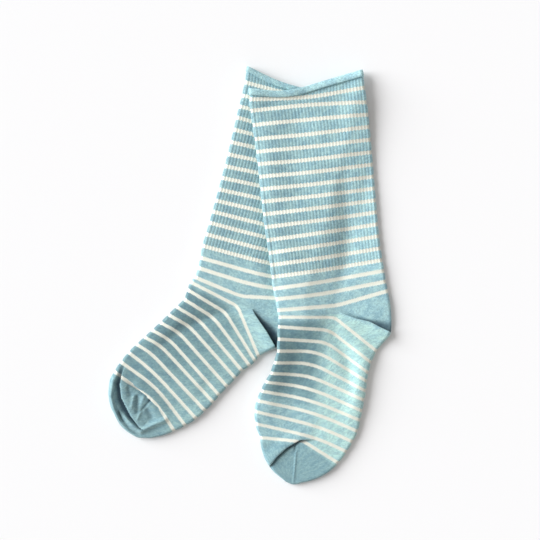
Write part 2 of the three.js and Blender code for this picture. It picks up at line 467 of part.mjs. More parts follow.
class Sock {
  constructor(shape) {
    this.shape = shape;
    this.table = makeColumns(shape.courses);
    this.relief = reliefOf(shape.lips, shape.creases);
    this.skin = new Skin();
  }

  roundOff(stripe) {
    const past = Math.max(0, (stripe - TOE_ROUND_START) / (TOE_END - TOE_ROUND_START));
    return Math.sqrt(Math.max(0, 1 - past * past));
  }

  run(course, places, spread, makeHeight, ends) {
    const out = [];
    const full = course.length + 2 * spread;
    places.forEach((place, order) => {
      const share = place.along / full;
      if (ends && order === 0) {
        out.push({ index: ends[0], share: 0 });
        return;
      }
      if (ends && order === places.length - 1) {
        out.push({ index: ends[1], share: 1 });
        return;
      }
      const { x, y } = pointOn(course, place.along - spread);
      out.push({ index: this.skin.add(x, y, makeHeight(x, y, place, share)), share });
    });
    return out;
  }

  outerRing(stripe, weltShare) {
    const { shape } = this;
    const course = courseAt(this.table, stripe);
    const out = WELT_HEIGHT * (weltShare ?? 0);
    const spread = WELT_SPREAD * out;
    const length = course.length + 2 * spread;
    const end = this.roundOff(stripe);
    const radius = HALF_HEIGHT;
    const ribs = 1 - smooth((stripe - RIB_FADE_START) / (RIB_FADE_END - RIB_FADE_START));
    const ribbed = ribs > 0 && weltShare === null;
    const middle = (x, y) => shape.lies(x, y) + this.lift(stripe) + HALF_HEIGHT;
    const divisions = ribbed ? 2 * RIBS_ACROSS : PLAIN_ACROSS;
    const places = placesAcross(length, radius, divisions, ROUND);
    const top = this.run(course, places, spread, (x, y, place, share) => {
      const welt = out * shape.weltAcross(share);
      const groove = ribbed && place.step % 2 === 1 ? RIB_DEPTH * ribs : 0;
      const raised = HALF_HEIGHT + welt - groove + this.relief(x, y) * place.height;
      return middle(x, y) + raised * place.height * end;
    });
    if (end === 0) {
      return { top, bottom: top };
    }
    const ends = [top[0].index, top[top.length - 1].index];
    const lower = placesAcross(length, radius, UNDER_ACROSS, ROUND);
    const bottom = this.run(course, lower, spread, (x, y, place) => {
      const depth = HALF_HEIGHT + out * WELT_UNDER;
      return middle(x, y) - depth * place.height * end;
    }, ends);
    return { top, bottom };
  }

  innerRing(stripe, closed) {
    const { shape } = this;
    const course = courseAt(this.table, stripe);
    const radius = HALF_HEIGHT - WALL;
    const length = course.length - 2 * WALL;
    const middle = (x, y) => shape.lies(x, y) + this.lift(stripe) + HALF_HEIGHT;
    const places = placesAcross(length, radius, UNDER_ACROSS, SHARP);
    const top = this.run(course, places, -WALL, (x, y, place) => {
      const sunk = Math.max(-MOST_SUNK, Math.min(0, this.relief(x, y))) * place.height;
      return middle(x, y) + (closed ? 0 : (radius + sunk) * place.height);
    });
    if (closed) {
      return { top, bottom: top };
    }
    const ends = [top[0].index, top[top.length - 1].index];
    const bottom = this.run(course, places, -WALL, (x, y, place) => {
      return middle(x, y) - radius * place.height;
    }, ends);
    return { top, bottom };
  }

  // Points on top of the sock, close enough together to lie another sock on.
  topSamples() {
    const samples = [];
    const heel = every(17, 18, HEEL_SAMPLE_STRIPES);
    for (const stripe of [...every(-1, 17, SAMPLE_STRIPES), ...heel, ...every(18, TOE_END, SAMPLE_STRIPES)]) {
      const course = courseAt(this.table, stripe);
      const steps = Math.ceil(course.length / LAY_GRID);
      for (let i = 0; i <= steps; i += 1) {
        const along = (course.length * i) / steps;
        const { x, y } = pointOn(course, along);
        const edge = Math.max(0, Math.min(along, course.length - along));
        const height = Math.sqrt(1 - (1 - Math.min(1, edge / HALF_HEIGHT)) ** 2);
        const welt = stripe < WELT_FOOT ? WELT_HEIGHT * this.shape.weltAcross(i / steps) : 0;
        const raised = HALF_HEIGHT + welt + this.relief(x, y);
        samples.push({ x, y, z: this.lift(stripe) + HALF_HEIGHT + raised * height * this.roundOff(stripe) });
      }
    }
    return samples;
  }

  lift(stripe) {
    const fade = smooth((stripe - WELT_FOOT) / (WELT_LIFT_END - WELT_FOOT));
    return WELT_HEIGHT * WELT_UNDER * (1 - fade);
  }

  build() {
    const { skin, shape } = this;
    const inner = shape.innerStripes.map((stripe) => this.innerRing(stripe, stripe === HOLLOW_END));
    const outer = [
      ...WELT_PROFILE.map((row) => this.outerRing(row.stripe, row.share)),
      ...shape.outerStripes.map((stripe) => this.outerRing(stripe, null)),
    ];
    const outside = [inner[0], ...outer];
    for (let i = 0; i + 1 < outside.length; i += 1) {
      skin.strip(outside[i].top, outside[i + 1].top, false);
      skin.strip(outside[i].bottom, outside[i + 1].bottom, true);
    }
    for (let i = 0; i + 1 < inner.length; i += 1) {
      skin.strip(inner[i].top, inner[i + 1].top, true);
      skin.strip(inner[i].bottom, inner[i + 1].bottom, false);
    }
    return skin.geometry();
  }
}

// Stripe numbers from one limit to another by a step.
function every(from, to, step) {
  const count = Math.round((to - from) / step);
  return Array.from({ length: count + 1 }, (_, i) => from + i * step);
}

const HEEL_STRIPES = [17, 17.2, 17.38, ...every(17.5, 17.7, 0.05), 17.85];
const TOE_STRIPES = [...every(29.2, 32, 0.7), 32.6, 33.1, 33.6, TOE_END];
const INNER_STRIPES = [-0.94, -0.4, ...every(1, 16, 2.5), 17, 17.4, 17.7,
  ...every(18, 30, 1.5), 31.3, HOLLOW_END];

const UNDER = {
  name: "sock_under",
  courses: UNDER_COURSES,
  lips: UNDER_LIPS,
  creases: UNDER_CREASES,
  outerStripes: [-0.3, ...every(1, 13, 3), RIB_FADE_START, RIB_FADE_END, 16,
    ...HEEL_STRIPES, ...every(18, 28, 1.25), ...TOE_STRIPES],
  innerStripes: INNER_STRIPES,
  weltAcross: (share) => 1 - WELT_FLATTENED * smooth((share - WELT_FLAT_START) / WELT_FLAT_OVER),
  lies: () => 0,
};

const OVER = {
  name: "sock_over",
  courses: OVER_COURSES,
  lips: OVER_LIPS,
  creases: OVER_CREASES,
  outerStripes: [-0.3, ...every(1, 12.7, 1.3), RIB_FADE_START, RIB_FADE_END, 16,
    ...HEEL_STRIPES, ...every(18, 28, 1.25), ...TOE_STRIPES],
  innerStripes: [-0.94, -0.4, ...every(1, 15.5, 1.45), ...INNER_STRIPES.filter((stripe) => stripe > 16)],
  weltAcross: () => 1,
};

function makeMesh(name, geometry) {
  const material = new THREE.MeshStandardMaterial({ color: COLOUR, roughness: 0.95 });
  material.name = name;
  const mesh = new THREE.Mesh(geometry, material);
  mesh.name = name;
  return mesh;
}

function boxOfCourses(courses) {
  const box = new THREE.Box2();
  for (const row of courses) {
    box.expandByPoint(new THREE.Vector2(row.leftX, row.leftY));
    box.expandByPoint(new THREE.Vector2(row.endX, row.endY));
  }
  return box.expandByScalar(2 * LAY_GRID);
}

const under = new Sock(UNDER);
const underGeometry = under.build();
OVER.lies = layOver(under.topSamples(), boxOfCourses(OVER_COURSES));
const overGeometry = new Sock(OVER).build();

const pair = new THREE.Group();
pair.name = "pair_of_socks";
pair.add(makeMesh(UNDER.name, underGeometry), makeMesh(OVER.name, overGeometry));

// The middle of the pair's box becomes x = 0, y = 0.
const middle = new THREE.Box3().setFromObject(pair).getCenter(new THREE.Vector3());
for (const mesh of pair.children) {
  mesh.geometry.translate(-middle.x, -middle.y, 0);
}

export default pair;
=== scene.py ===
"""A pair of striped knitted socks laid flat on a pale surface, one crossing over the other."""

import math
from collections import namedtuple

import bpy
import numpy as np
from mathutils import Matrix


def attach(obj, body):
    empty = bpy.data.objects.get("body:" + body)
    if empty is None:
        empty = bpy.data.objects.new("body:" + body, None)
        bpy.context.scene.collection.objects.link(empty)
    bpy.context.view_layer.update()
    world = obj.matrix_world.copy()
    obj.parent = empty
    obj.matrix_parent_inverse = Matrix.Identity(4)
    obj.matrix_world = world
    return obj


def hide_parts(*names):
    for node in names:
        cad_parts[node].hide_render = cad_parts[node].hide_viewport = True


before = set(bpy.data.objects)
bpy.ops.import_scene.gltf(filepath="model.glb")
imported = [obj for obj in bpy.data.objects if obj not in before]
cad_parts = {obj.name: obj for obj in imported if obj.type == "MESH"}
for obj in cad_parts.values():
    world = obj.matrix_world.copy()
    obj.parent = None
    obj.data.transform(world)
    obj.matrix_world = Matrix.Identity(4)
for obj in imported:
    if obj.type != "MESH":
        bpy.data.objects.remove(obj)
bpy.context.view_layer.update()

bl_info = {
    "name": "Striped sock pair",
    "version": (1, 0, 0),
    "blender": (4, 5, 0),
    "location": "View3D > Sidebar > Socks",
    "description": "Builds two ribbed, striped socks laid flat, with their knit and a pale surface",
    "category": "Add Mesh",
}

# The tables are in millimetres, measured from the same corner as the solids' own tables.
MM = 0.001
CENTRE_X = 0.3184  # middle of the pair's box in the tables, which is x = 0 in the frame
CENTRE_Y = 0.0255

# In this block names that end in START, END, TOP, FOOT, UNDERCUT or EDGE hold stripe numbers.
RIBS_ACROSS = 33  # ribs on the upper side of a leg between its rounded edges
EDGE_RIBS = 1.4  # ribs round each side edge
WALES_PER_RIB = 2
COURSE_MM = 0.8  # height of one knitted course
RIB_FADE_START = 13.9
RIB_FADE_END = 14.7
GROOVE_SHAPE = 0.8  # below 1, a groove is wider than the top of a rib
PINCH = 0.16  # how far the cloth is drawn in along a stripe
PINCH_AT_SIDES = 0.3  # and how much more at the side edges
PINCH_SPREAD = 0.2  # in stripes
PINCH_END = 29.3
WELT_TOP = -1.0  # the mouth's rim
WELT_FOOT = -0.5  # where the welt meets the leg
WELT_UNDERCUT = -0.63  # where the leg comes out from under the welt
WELT_EDGE = -0.56  # where the welt's roll is widest
WELT_UNDER = 0.4  # share of the welt's height left under the sock's own weight
WELT_SPREAD = 0.4  # share of its height at the two side edges
WELT_LIFT_END = 2.5  # where the leg's underside is down again
WELT_FLATTENED = 0.85  # share of the lower sock's welt pressed down by the upper sock
WELT_FLAT_FROM = 0.42  # share of the way across where that begins
WELT_FLAT_OVER = 0.15  # share of the way across over which it goes down
TOE_ROUND_START = 32.3
TOE_END = 34
HOLLOW_END = 32.5
LAST_LEG_STRIPE = 17
FIRST_FOOT_STRIPE = 18
LAST_STRIPE = 29
MOST_TURN = 0.95  # share of a course's shorter run that its rounded turn may take up
UPPER_STEPS = (4, 6)  # divisions of a rib and of a rounded edge on an upper side
LOWER_STEPS = (2, 3)
LOWER_RELIEF = 0.6  # depth of the ribs on the side that is lain on
HEEL_BAND = 0.06  # stripes each side of the heel's fold with closer rings
MOST_SUNK = 0.9  # how far the inside may follow a crease down
LAY_GAP = 0.75  # space left between the upper sock and the lower one
LAY_SLOPE = 0.24  # fall per millimetre where the upper sock comes down
LAY_MARGIN = 1.5  # how far it stays level past what it lies on
LAY_GRID = 1.0
LAY_ROOM = 6  # how far the grid goes on round the upper sock
LAY_BLUR = 1.2  # in grid steps
SAMPLE_STRIPES = 0.25  # stripes between the points that the upper sock is laid over
HEEL_SAMPLE_STRIPES = 0.025
SAMPLES_ACROSS = 42
RIPPLE = 0.14  # height of the slow waves in the loose cloth
RIPPLE_ACROSS = 27.0
RIPPLE_ALONG = 61.0
RIPPLE_SLANT = 23.0
RELIEF_SCALE = 1.3  # how much more the loose cloth stands out than the plain solid
LIP_STEP = 0.3  # half width of the steep side of a folded edge
LIP_REACH = 9.0  # how far a folded edge slopes back
LIP_OVERHANG = 0.25  # share of its height that a folded edge hangs over
LIP_OVERHANG_AT = 0.3
LIP_OVERHANG_WIDTH = 1.1
LIP_LINE = 0.02  # points as near as this to the edge's line stay on it
PAINTED_SHADE_BY_LIP = 1.2  # share of painted shade per millimetre that a fold draws the cloth down
# painted shade per millimetre of a narrow crease's depth
PAINTED_SHADE_BY_CREASE = 0.6
NARROW = 4.0  # only creases narrower than this get painted shade

# Colouring, with painted light and shade on the leg and foot. Shares across run from 0 at the instep
# edge to 1 at the sole's, and on underneath.
HEEL_FOLD = 17.62
HEEL_TURN = (17.2, 17.8)  # stripe numbers where the foot's narrower stripes begin
# stripe numbers where the foot's deeper colour, its own and painted shade, begins, fades at the ball
# and changes on the toe
FOOT_SHADE = (18.0, 18.8)
BALL = (24.0, 26.5)
TOE_SHADE = (28.9, 29.6)
LEG_PAINTED_SHADING = (13.0, 17.0)  # where the leg's painted light and shade across runs out
SOLE_DRIFT = 0.02  # how far the sole's border moves across from one stripe to the next
SOLE_MIDDLE = 22.0  # stripe number where the border lies as the look says
SOLE_PAINTED_LIGHT = 0.2  # painted light: how much paler the sole side's ground is
# colour of the sole side's painted light
SOLE_PAINTED_LIGHT_TINT = (1.03, 0.985, 0.9, 1.0)
SOLE_UNDER = (1.6, 2.0)  # share across where the sole side's painted light ends underneath
LEFT_EDGE = (0.02, 0.1)
LEFT_REACH = (0.15, 0.45)
LEFT_PAINTED_SHADE = 0.18  # painted shade: how much darker the leg's ground is towards its left edge
RIGHT_REACH = (0.6, 0.95)
RIGHT_EDGE = (1.0, 1.1)
RIGHT_PAINTED_LIGHT = 0.2  # and painted light: how much paler towards its right one
FOOT_PALE = 0.94  # brightness of the foot's pale stripes beside the leg's
WELT_GAIN = 0.97  # the welt's ground at its darkest purl dots
WELT_SPECKLE = 0.28  # and how much paler it is between them
RIB_GROOVE_PAINTED_SHADE = 0.2  # painted shade: how much darker the ground is between the ribs
STRIPE_SHADE = 0.6  # share of the ground's darkening, random and painted shade, that the pale stripes don't take
PATCH_SCALE = 0.16
FLECK_SCALE = 1.3
DOT_SCALE = 0.9
FIBRE_SCALE = 6.0
CONTRAST = (0.35, 0.65)

# Stage, in metres and degrees.
FLOOR_SIZE = 8.0
FLOOR_Z = -0.0002
SURFACE = (0.93, 0.925, 0.93)
ROOM_COLOUR = (1.0, 0.96, 0.93)
KEY_COLOUR = (0.965, 0.992, 1.015)
KEY_ANGLE = 48
KEY_PLACE = (-2.37, 0.86, 1.34)
CAMERA_X = 0.0130
CAMERA_Y = 0.0036
LENS = 85.0
SENSOR = 36.0

# stripe counts the pale stripes from the mouth: 0 to 17 on the leg, 18 to 29 on the foot.
Course = namedtuple("Course", "stripe left_x left_y bend_x bend_y right_x right_y soft")
OVER_COURSES = [
    Course(-1, -0.3, 121.2, 23.7, 118.2, 73.1, 133.7, 0.15),
    Course(-0.55, 0.3, 116.5, 25, 114.2, 74, 129, 0.15),
    Course(0, -0.4, 113.9, 39.3, 114.9, 75.1, 121.7, 0.2),
    Course(3, 2.9, 88.4, 40.6, 91.5, 78.3, 96.6, 0.2),
    Course(6, 5.9, 64, 42.6, 67, 80.5, 72.3, 0.2),
    Course(9, 8.4, 39.6, 44.5, 43.7, 82.5, 49.1, 0.2),
    Course(12, 12, 14.6, 44.5, 19.2, 84.6, 25.7, 0.2),
    Course(14, 14, -1, 45.8, 3.2, 86.7, 10.2, 0.2),
    Course(15, 15.1, -8.6, 47.1, -4.2, 87.8, 3.2, 0.2),
    Course(16, 16.6, -15.4, 49.1, -11.7, 88.9, -3.8, 0.15),
    Course(17, 17.7, -22.4, 56.9, -19.4, 90.4, -9.8, 0.06),
    Course(17.3, 18, -23.7, 58.2, -21.8, 92, -20.5, 0.06),
    Course(17.5, 18.2, -24.6, 59.5, -23.9, 92.5, -30.9, 0.06),
    Course(17.65, 18.3, -25.2, 59.5, -25, 92, -37.4, 0.05),
    Course(17.85, 18.5, -26.1, 56.9, -26.3, 88.1, -43, 0.05),
    Course(18, 18.5, -26.8, 54.9, -27, 82.9, -49.4, 0.05),
    Course(19, 18.1, -33, 51.7, -35.4, 79.3, -56.7, 0.08),
    Course(20, 17.9, -40.9, 49.7, -43.2, 77.5, -63.4, 0.1),
    Course(21, 17.6, -48.6, 44.5, -49.4, 76.5, -68.9, 0.15),
    Course(22, 15.6, -56.2, 40.6, -57.1, 75.9, -75.1, 0.15),
    Course(23, 13.3, -63.1, 39.3, -65.3, 74.8, -81.1, 0.15),
    Course(24, 10.1, -68.8, 39.3, -73.1, 73.5, -88.1, 0.2),
    Course(25, 7.2, -74.8, 40.6, -81.2, 72.2, -94.2, 0.2),
    Course(26, 4.7, -81.1, 42.6, -89.4, 70.5, -101.4, 0.2),
    Course(27, 3.1, -88.1, 44.5, -98, 67.3, -108.2, 0.2),
    Course(28, 3.7, -96.2, 43.2, -105.3, 63.4, -114.7, 0.2),
    Course(29, 6.5, -105.3, 35.4, -107.9, 57.9, -122.1, 0.05),
    Course(30, 7.8, -112.8, 32.8, -113.4, 53, -126.9, 0.1),
    Course(31, 10.4, -120.2, 30.9, -120.6, 45.8, -131.4, 0.1),
    Course(32, 15.3, -127.4, 29.9, -127.7, 38, -134.2, 0.1),
    Course(33, 21.2, -132.4, 28.6, -133.2, 33.5, -135.1, 0.1),
    Course(34, 23.6, -134.4, 28, -136.3, 32.2, -135.8, 0.2),
]
UNDER_COURSES = [
    Course(-1, -1.3, 136.2, 27.6, 121.9, 69.9, 118.6, 0.25),
    Course(-0.55, -2.1, 132.9, 19.8, 120.6, 69.2, 114.4, 0.2),
    Course(0, -3.4, 125.8, 23.1, 118.6, 68.2, 110.2, 0.2),
    Course(3, -8.8, 103, 26.3, 93.9, 63.1, 87.4, 0.2),
    Course(6, -14.5, 79, 21.8, 71.6, 57.2, 63.7, 0.2),
    Course(9, -20.5, 56.2, 16.6, 48.1, 51.4, 41, 0.2),
    Course(12, -26.5, 34.5, 10.1, 24.8, 45.5, 18.2, 0.2),
    Course(14, -30.9, 19.5, 8.1, 8.9, 40.3, 2.6, 0.2),
    Course(15, -32.2, 11.7, 8.1, 0.3, 38.4, -4.5, 0.2),
    Course(16, -33.6, 5.1, 1.6, -6, 36.7, -11.1, 0.15),
    Course(17, -35.8, -1, -5.9, -13.5, 35.4, -15.6, 0.05),
    Course(17.3, -36.5, -1.8, -4.2, -15.3, 37.4, -23.1, 0.06),
    Course(17.5, -37.2, -2.4, -2.3, -17.6, 34.8, -33.5, 0.06),
    Course(17.65, -37.7, -2.9, -1, -20.5, 18.9, -46.1, 0.05),
    Course(17.85, -38.2, -3.4, -5.5, -19.8, 12.3, -49.4, 0.05),
    Course(18, -38.7, -4, -7.9, -19.8, 6, -53, 0.05),
    Course(19, -40.4, -9.1, -15.9, -23.9, 3.8, -55.8, 0.06),
    Course(20, -42.8, -15.1, -23.1, -27.6, 0.3, -59, 0.1),
    Course(21, -47.8, -20.2, -32.8, -28.9, -4.7, -62.1, 0.12),
    Course(22, -53, -25.2, -39.3, -32.8, -9, -67, 0.12),
    Course(23, -58.2, -30.4, -46.5, -36.4, -14.3, -72.5, 0.12),
    Course(24, -63.6, -35.4, -52.6, -41, -19.6, -78.1, 0.12),
    Course(25, -68.6, -40, -58.8, -44.5, -23.4, -82.7, 0.12),
    Course(26, -73.8, -44.7, -65.3, -49.1, -28.7, -88.1, 0.12),
    Course(27, -79, -49.9, -64.7, -60.1, -34.5, -93.3, 0.25),
    Course(28, -83.9, -56, -60.8, -72.5, -41.6, -97.8, 0.2),
    Course(29, -88.2, -62.3, -61.4, -81.6, -48.9, -101.3, 0.12),
    Course(30, -91.3, -69.2, -69.9, -86.1, -56.9, -104.3, 0.1),
    Course(31, -92, -77, -76.4, -90, -65.3, -105.9, 0.1),
    Course(32, -90.7, -84.8, -80, -93, -71.8, -105.7, 0.1),
    Course(33, -88.1, -90.4, -82.9, -95.6, -77.7, -103, 0.1),
    Course(34, -86.8, -93.3, -84.2, -97.8, -80, -101.6, 0.2),
]


def folds(kind, table):
    """The rows of each fold, with the names of their columns."""
    return [[kind(*row) for row in rows] for rows in table.values()]


# Folded edges: the raised cloth is on the right hand along the rows of one fold.
Lip = namedtuple("Lip", "x y rise dip width")
OVER_LIPS = folds(Lip, {
    "heel": [
        (58.5, -23.4, 0, 0, 2),
        (63.4, -25.7, 0.5, 0.2, 2),
        (69.2, -28, 1, 0.4, 2),
        (78.4, -30.2, 1.3, 0.7, 1.6),
        (84.8, -33.7, 1.6, 0.7, 4.4),
        (91.9, -37, 1.6, 0.7, 6),
    ],
    "toe seam": [
        (42, -106.8, 0, 0.2, 1.2),
        (33, -106.9, 1, 0.8, 1.7),
        (23.8, -112.2, 1.6, 0.8, 1.5),
        (17.8, -117.8, 1.6, 0.8, 1.3),
        (12.9, -124.4, 1.4, 0.6, 0.9),
    ],
})
UNDER_LIPS = folds(Lip, {
    "heel": [
        (1.6, -21.1, 0, 0, 2),
        (3.4, -25, 0.8, 0.6, 2),
        (6.7, -30.2, 1.3, 0.8, 3),
        (11.2, -36.7, 1.6, 0.9, 6),
        (16.4, -45.8, 1.6, 1, 6.5),
    ],
    "toe pocket": [
        (-66, -101.5, 0, 0, 1),
        (-70.9, -99.1, 1.3, 0.8, 1.2),
        (-75.2, -93.4, 1.7, 0.9, 2),
        (-77.5, -90.3, 1.7, 0.9, 3),
        (-79.8, -86, 1.7, 0.9, 4.2),
        (-82.9, -79.6, 1.7, 0.9, 3.7),
        (-84.2, -70.5, 1.5, 0.9, 3.2),
        (-82.8, -63.5, 0.8, 0.6, 2.4),
        (-81, -58.5, 0, 0, 1.5),
    ],
    "toe line": [
        (-53, -92, 0, 0, 2),
        (-64, -81.2, 1.2, 0.4, 1.8),
        (-73.5, -72.5, 1.1, 0.4, 1.8),
        (-80.5, -66, 0, 0, 2),
    ],
})

Crease = namedtuple("Crease", "x y height reach")
OVER_CREASES = folds(Crease, {
    "instep": [
        (50.4, -27.6, -0.2, 4),
        (47.1, -38.7, -0.35, 5),
        (32.8, -51.7, -0.35, 6),
        (21.8, -71.2, -0.3, 6),
        (15.3, -95.2, 0, 5),
    ],
    "sole side": [
        (51, -27.6, -0.2, 5),
        (62.1, -49.7, -0.9, 6),
        (65.3, -61.4, -0.9, 6),
        (66, -75, -0.4, 6),
        (64, -88, 0, 5),
    ],
    "arch": [
        (36, -28, 0, 12),
        (31, -48, -0.9, 13),
        (27, -76, -0.9, 12),
        (24, -100, 0, 11),
    ],
    "outer edge": [
        (57, -36, 0, 8),
        (70, -45, 1, 8),
        (74, -55, 1.7, 8),
        (71, -70, 1.7, 8),
        (68.5, -85, 1.4, 8),
        (62, -102, 0, 8),
    ],
    "instep edge": [
        (22, -30, 0, 12),
        (19, -48, 1.1, 12),
        (13.5, -70, 1.4, 12),
        (9, -88, 1, 12),
        (9, -102, 0, 12),
    ],
    "ball": [
        (47.1, -90.7, 0, 4),
        (45.5, -98.5, -0.35, 5),
        (42.3, -106.6, 0, 4),
    ],
    "calf": [
        (66.6, 49.1, 0, 5),
        (64, 29, -0.3, 6),
        (62.1, 10.1, 0, 5),
    ],
    "shin": [
        (13, 113.8, -0.3, 8),
        (14.3, 94.3, 0, 8),
    ],
    "leg valley": [
        (60.5, 84, 0, 7),
        (62, 55, -0.9, 7.5),
        (63, 30, -1.2, 8),
        (62, 8, -1, 8),
        (60, -12, 0, 7),
    ],
    "toe gore": [
        (30.2, -114.7, 0.3, 1),
        (29.6, -123.8, 0.3, 1),
        (28.6, -134.2, 0.2, 1),
    ],
    "toe tick": [
        (29.6, -110.8, -0.8, 1.1),
        (29.6, -114.4, -0.3, 1),
    ],
})
UNDER_CREASES = folds(Crease, {
    "instep": [
        (-8.1, -19.8, -0.2, 4),
        (-24.4, -26.7, -0.8, 5),
        (-42.6, -34, -0.9, 5.5),
        (-53.6, -42, -0.6, 5),
        (-65.3, -52, 0, 4),
    ],
    "toe rim": [
        (-83.5, -60.5, 0, 2),
        (-88.5, -68, 1, 2.2),
        (-90, -78, 1.5, 2.2),
        (-88.2, -86, 1.5, 2),
        (-84.5, -94, 1, 1.7),
        (-79.5, -100, 0.6, 1.5),
        (-73, -103.6, 0, 1.5),
    ],
    "tongue": [
        (-82, -89.5, 0, 1.6),
        (-79.6, -92.8, 1.3, 1.8),
        (-76, -97, 1.5, 2.2),
        (-70.5, -101.2, 1.2, 2.4),
        (-62.7, -97.5, 1, 2.4),
        (-54.9, -93.9, 0.5, 2.4),
    ],
    "instep edge": [
        (-30, 0, 0, 12),
        (-32, -12, 1.1, 12),
        (-48.4, -28.9, 1.4, 12),
        (-64, -44, 1, 12),
        (-72, -54, 0, 12),
    ],
    "sole": [
        (-16.6, -51, 0, 4),
        (-30.2, -75.7, -0.35, 5),
        (-43.9, -90, 0, 5),
    ],
    "toe seam": [
        (-64.7, -80.9, -0.7, 1.3),
        (-67.3, -84.2, -0.7, 1.2),
        (-69.9, -87.4, -0.5, 1.2),
    ],
    "toe seam end": [
        (-71.2, -89.4, 0.5, 1),
        (-72.5, -93.3, 0.4, 1),
    ],
    "first pleat": [
        (-75.1, -78.3, 0.6, 1.5),
        (-76.4, -85.5, 0.5, 1.5),
    ],
    "second pleat": [
        (-68.6, -78.3, 0.6, 1.5),
        (-70.5, -84.2, 0.5, 1.5),
    ],
    "between pleats": [
        (-73.1, -79, -0.7, 1.5),
        (-73.1, -88.7, -0.6, 1.5),
    ],
    "pleat by the edge": [
        (-79, -73.1, -0.6, 1.5),
        (-77.7, -77.7, -0.5, 1.5),
    ],
    "toe hollow": [
        (-66.6, -87.4, -0.9, 2.2),
        (-64, -92, -0.7, 2.2),
    ],
    "toe fold": [
        (-70.2, -100.4, 0.6, 2.2),
        (-62.7, -96.5, 1, 2.4),
        (-54.9, -93.9, 0.6, 2.4),
    ],
    "beside the upper sock": [
        (2, 112, 0, 9),
        (4, 98, -0.9, 9),
        (8.5, 60, -1, 9),
        (13, 28, -1.2, 9),
        (15.5, 10, -1.7, 9),
        (17.5, -10, -1, 8),
        (18.5, -22, 0, 7),
    ],
    "tongue line": [
        (-85.5, -87, 0, 1),
        (-85, -89.2, -1.1, 1.1),
        (-82.9, -93.9, -1.1, 1.1),
        (-81, -97, -0.8, 1),
        (-76.4, -101.4, -0.6, 1),
        (-70.5, -104, 0, 1),
    ],
})


def smooth(value):
    v = np.clip(value, 0.0, 1.0)
    return v * v * (3 - 2 * v)


def through(xs, ys, x):
    """A curve through the rows of a table that doesn't overshoot them."""
    xs, ys = np.asarray(xs, float), np.asarray(ys, float)
    step = np.diff(xs)
    secant = np.diff(ys) / step
    slope = np.zeros_like(ys)
    slope[0], slope[-1] = secant[0], secant[-1]
    for i in range(1, len(xs) - 1):
        if secant[i - 1] * secant[i] > 0:
            first = 2 * step[i] + step[i - 1]
            second = step[i] + 2 * step[i - 1]
            slope[i] = (first + second) / (first / secant[i - 1] + second / secant[i])
    i = np.clip(np.searchsorted(xs, x, side="left") - 1, 0, len(xs) - 2)
    u = np.clip((x - xs[i]) / step[i], 0, 1)
    return (
        ys[i] * (2 * u**3 - 3 * u**2 + 1)
        + slope[i] * step[i] * (u**3 - 2 * u**2 + u)
        + ys[i + 1] * (3 * u**2 - 2 * u**3)
        + slope[i + 1] * step[i] * (u**3 - u**2)
    )


class Courses:
    """The courses at a list of stripe numbers: two straight runs with the turn rounded."""

    def __init__(self, rows, stripes):
        stripe = [row.stripe for row in rows]
        at = {
            name: through(stripe, [getattr(row, name) for row in rows], stripes)[:, None]
            for name in Course._fields[1:]
        }
        self.left = at["left_x"], at["left_y"]
        self.bend = at["bend_x"], at["bend_y"]
        run = at["bend_x"] - at["left_x"], at["bend_y"] - at["left_y"]
        rest = at["right_x"] - at["bend_x"], at["right_y"] - at["bend_y"]
        self.first = np.hypot(*run)
        second = np.hypot(*rest)
        self.length = self.first + second
        self.half = np.minimum(at["soft"] * self.length, MOST_TURN * np.minimum(self.first, second))
        self.away = run[0] / self.first, run[1] / self.first
        self.on = rest[0] / second, rest[1] / second

    def at(self, along):
        """x and y at distances along each course, one row per course."""
        inside = along - (self.first - self.half)
        blend = np.clip(inside, 0, 2 * self.half) ** 2 / (4 * self.half)
        blend = blend + np.maximum(0, inside - 2 * self.half)
        return tuple(
            self.left[i] + self.away[i] * (along - blend) + self.on[i] * blend for i in (0, 1)
        )


def nearest(rows, x, y, names):
    """Signed distance to a run of rows, positive on its right hand, with the way from it."""
    best = np.full(x.shape, np.inf)
    found = {name: np.zeros(x.shape) for name in ("side", "way_x", "way_y", *names)}
    for a, b in zip(rows, rows[1:]):
        dx, dy = b.x - a.x, b.y - a.y
        u = np.clip(((x - a.x) * dx + (y - a.y) * dy) / (dx * dx + dy * dy), 0, 1)
        off_x, off_y = x - a.x - dx * u, y - a.y - dy * u
        distance = np.hypot(off_x, off_y)
        closer = distance < best
        best = np.where(closer, distance, best)
        safe = np.maximum(distance, 1e-6)
        values = {
            "side": np.where(off_x * dy - off_y * dx > 0, 1.0, -1.0),
            "way_x": off_x / safe,
            "way_y": off_y / safe,
        }
        for name in names:
            values[name] = getattr(a, name) + (getattr(b, name) - getattr(a, name)) * u
        for name, value in values.items():
            found[name] = np.where(closer, value, found[name])
    return best, found


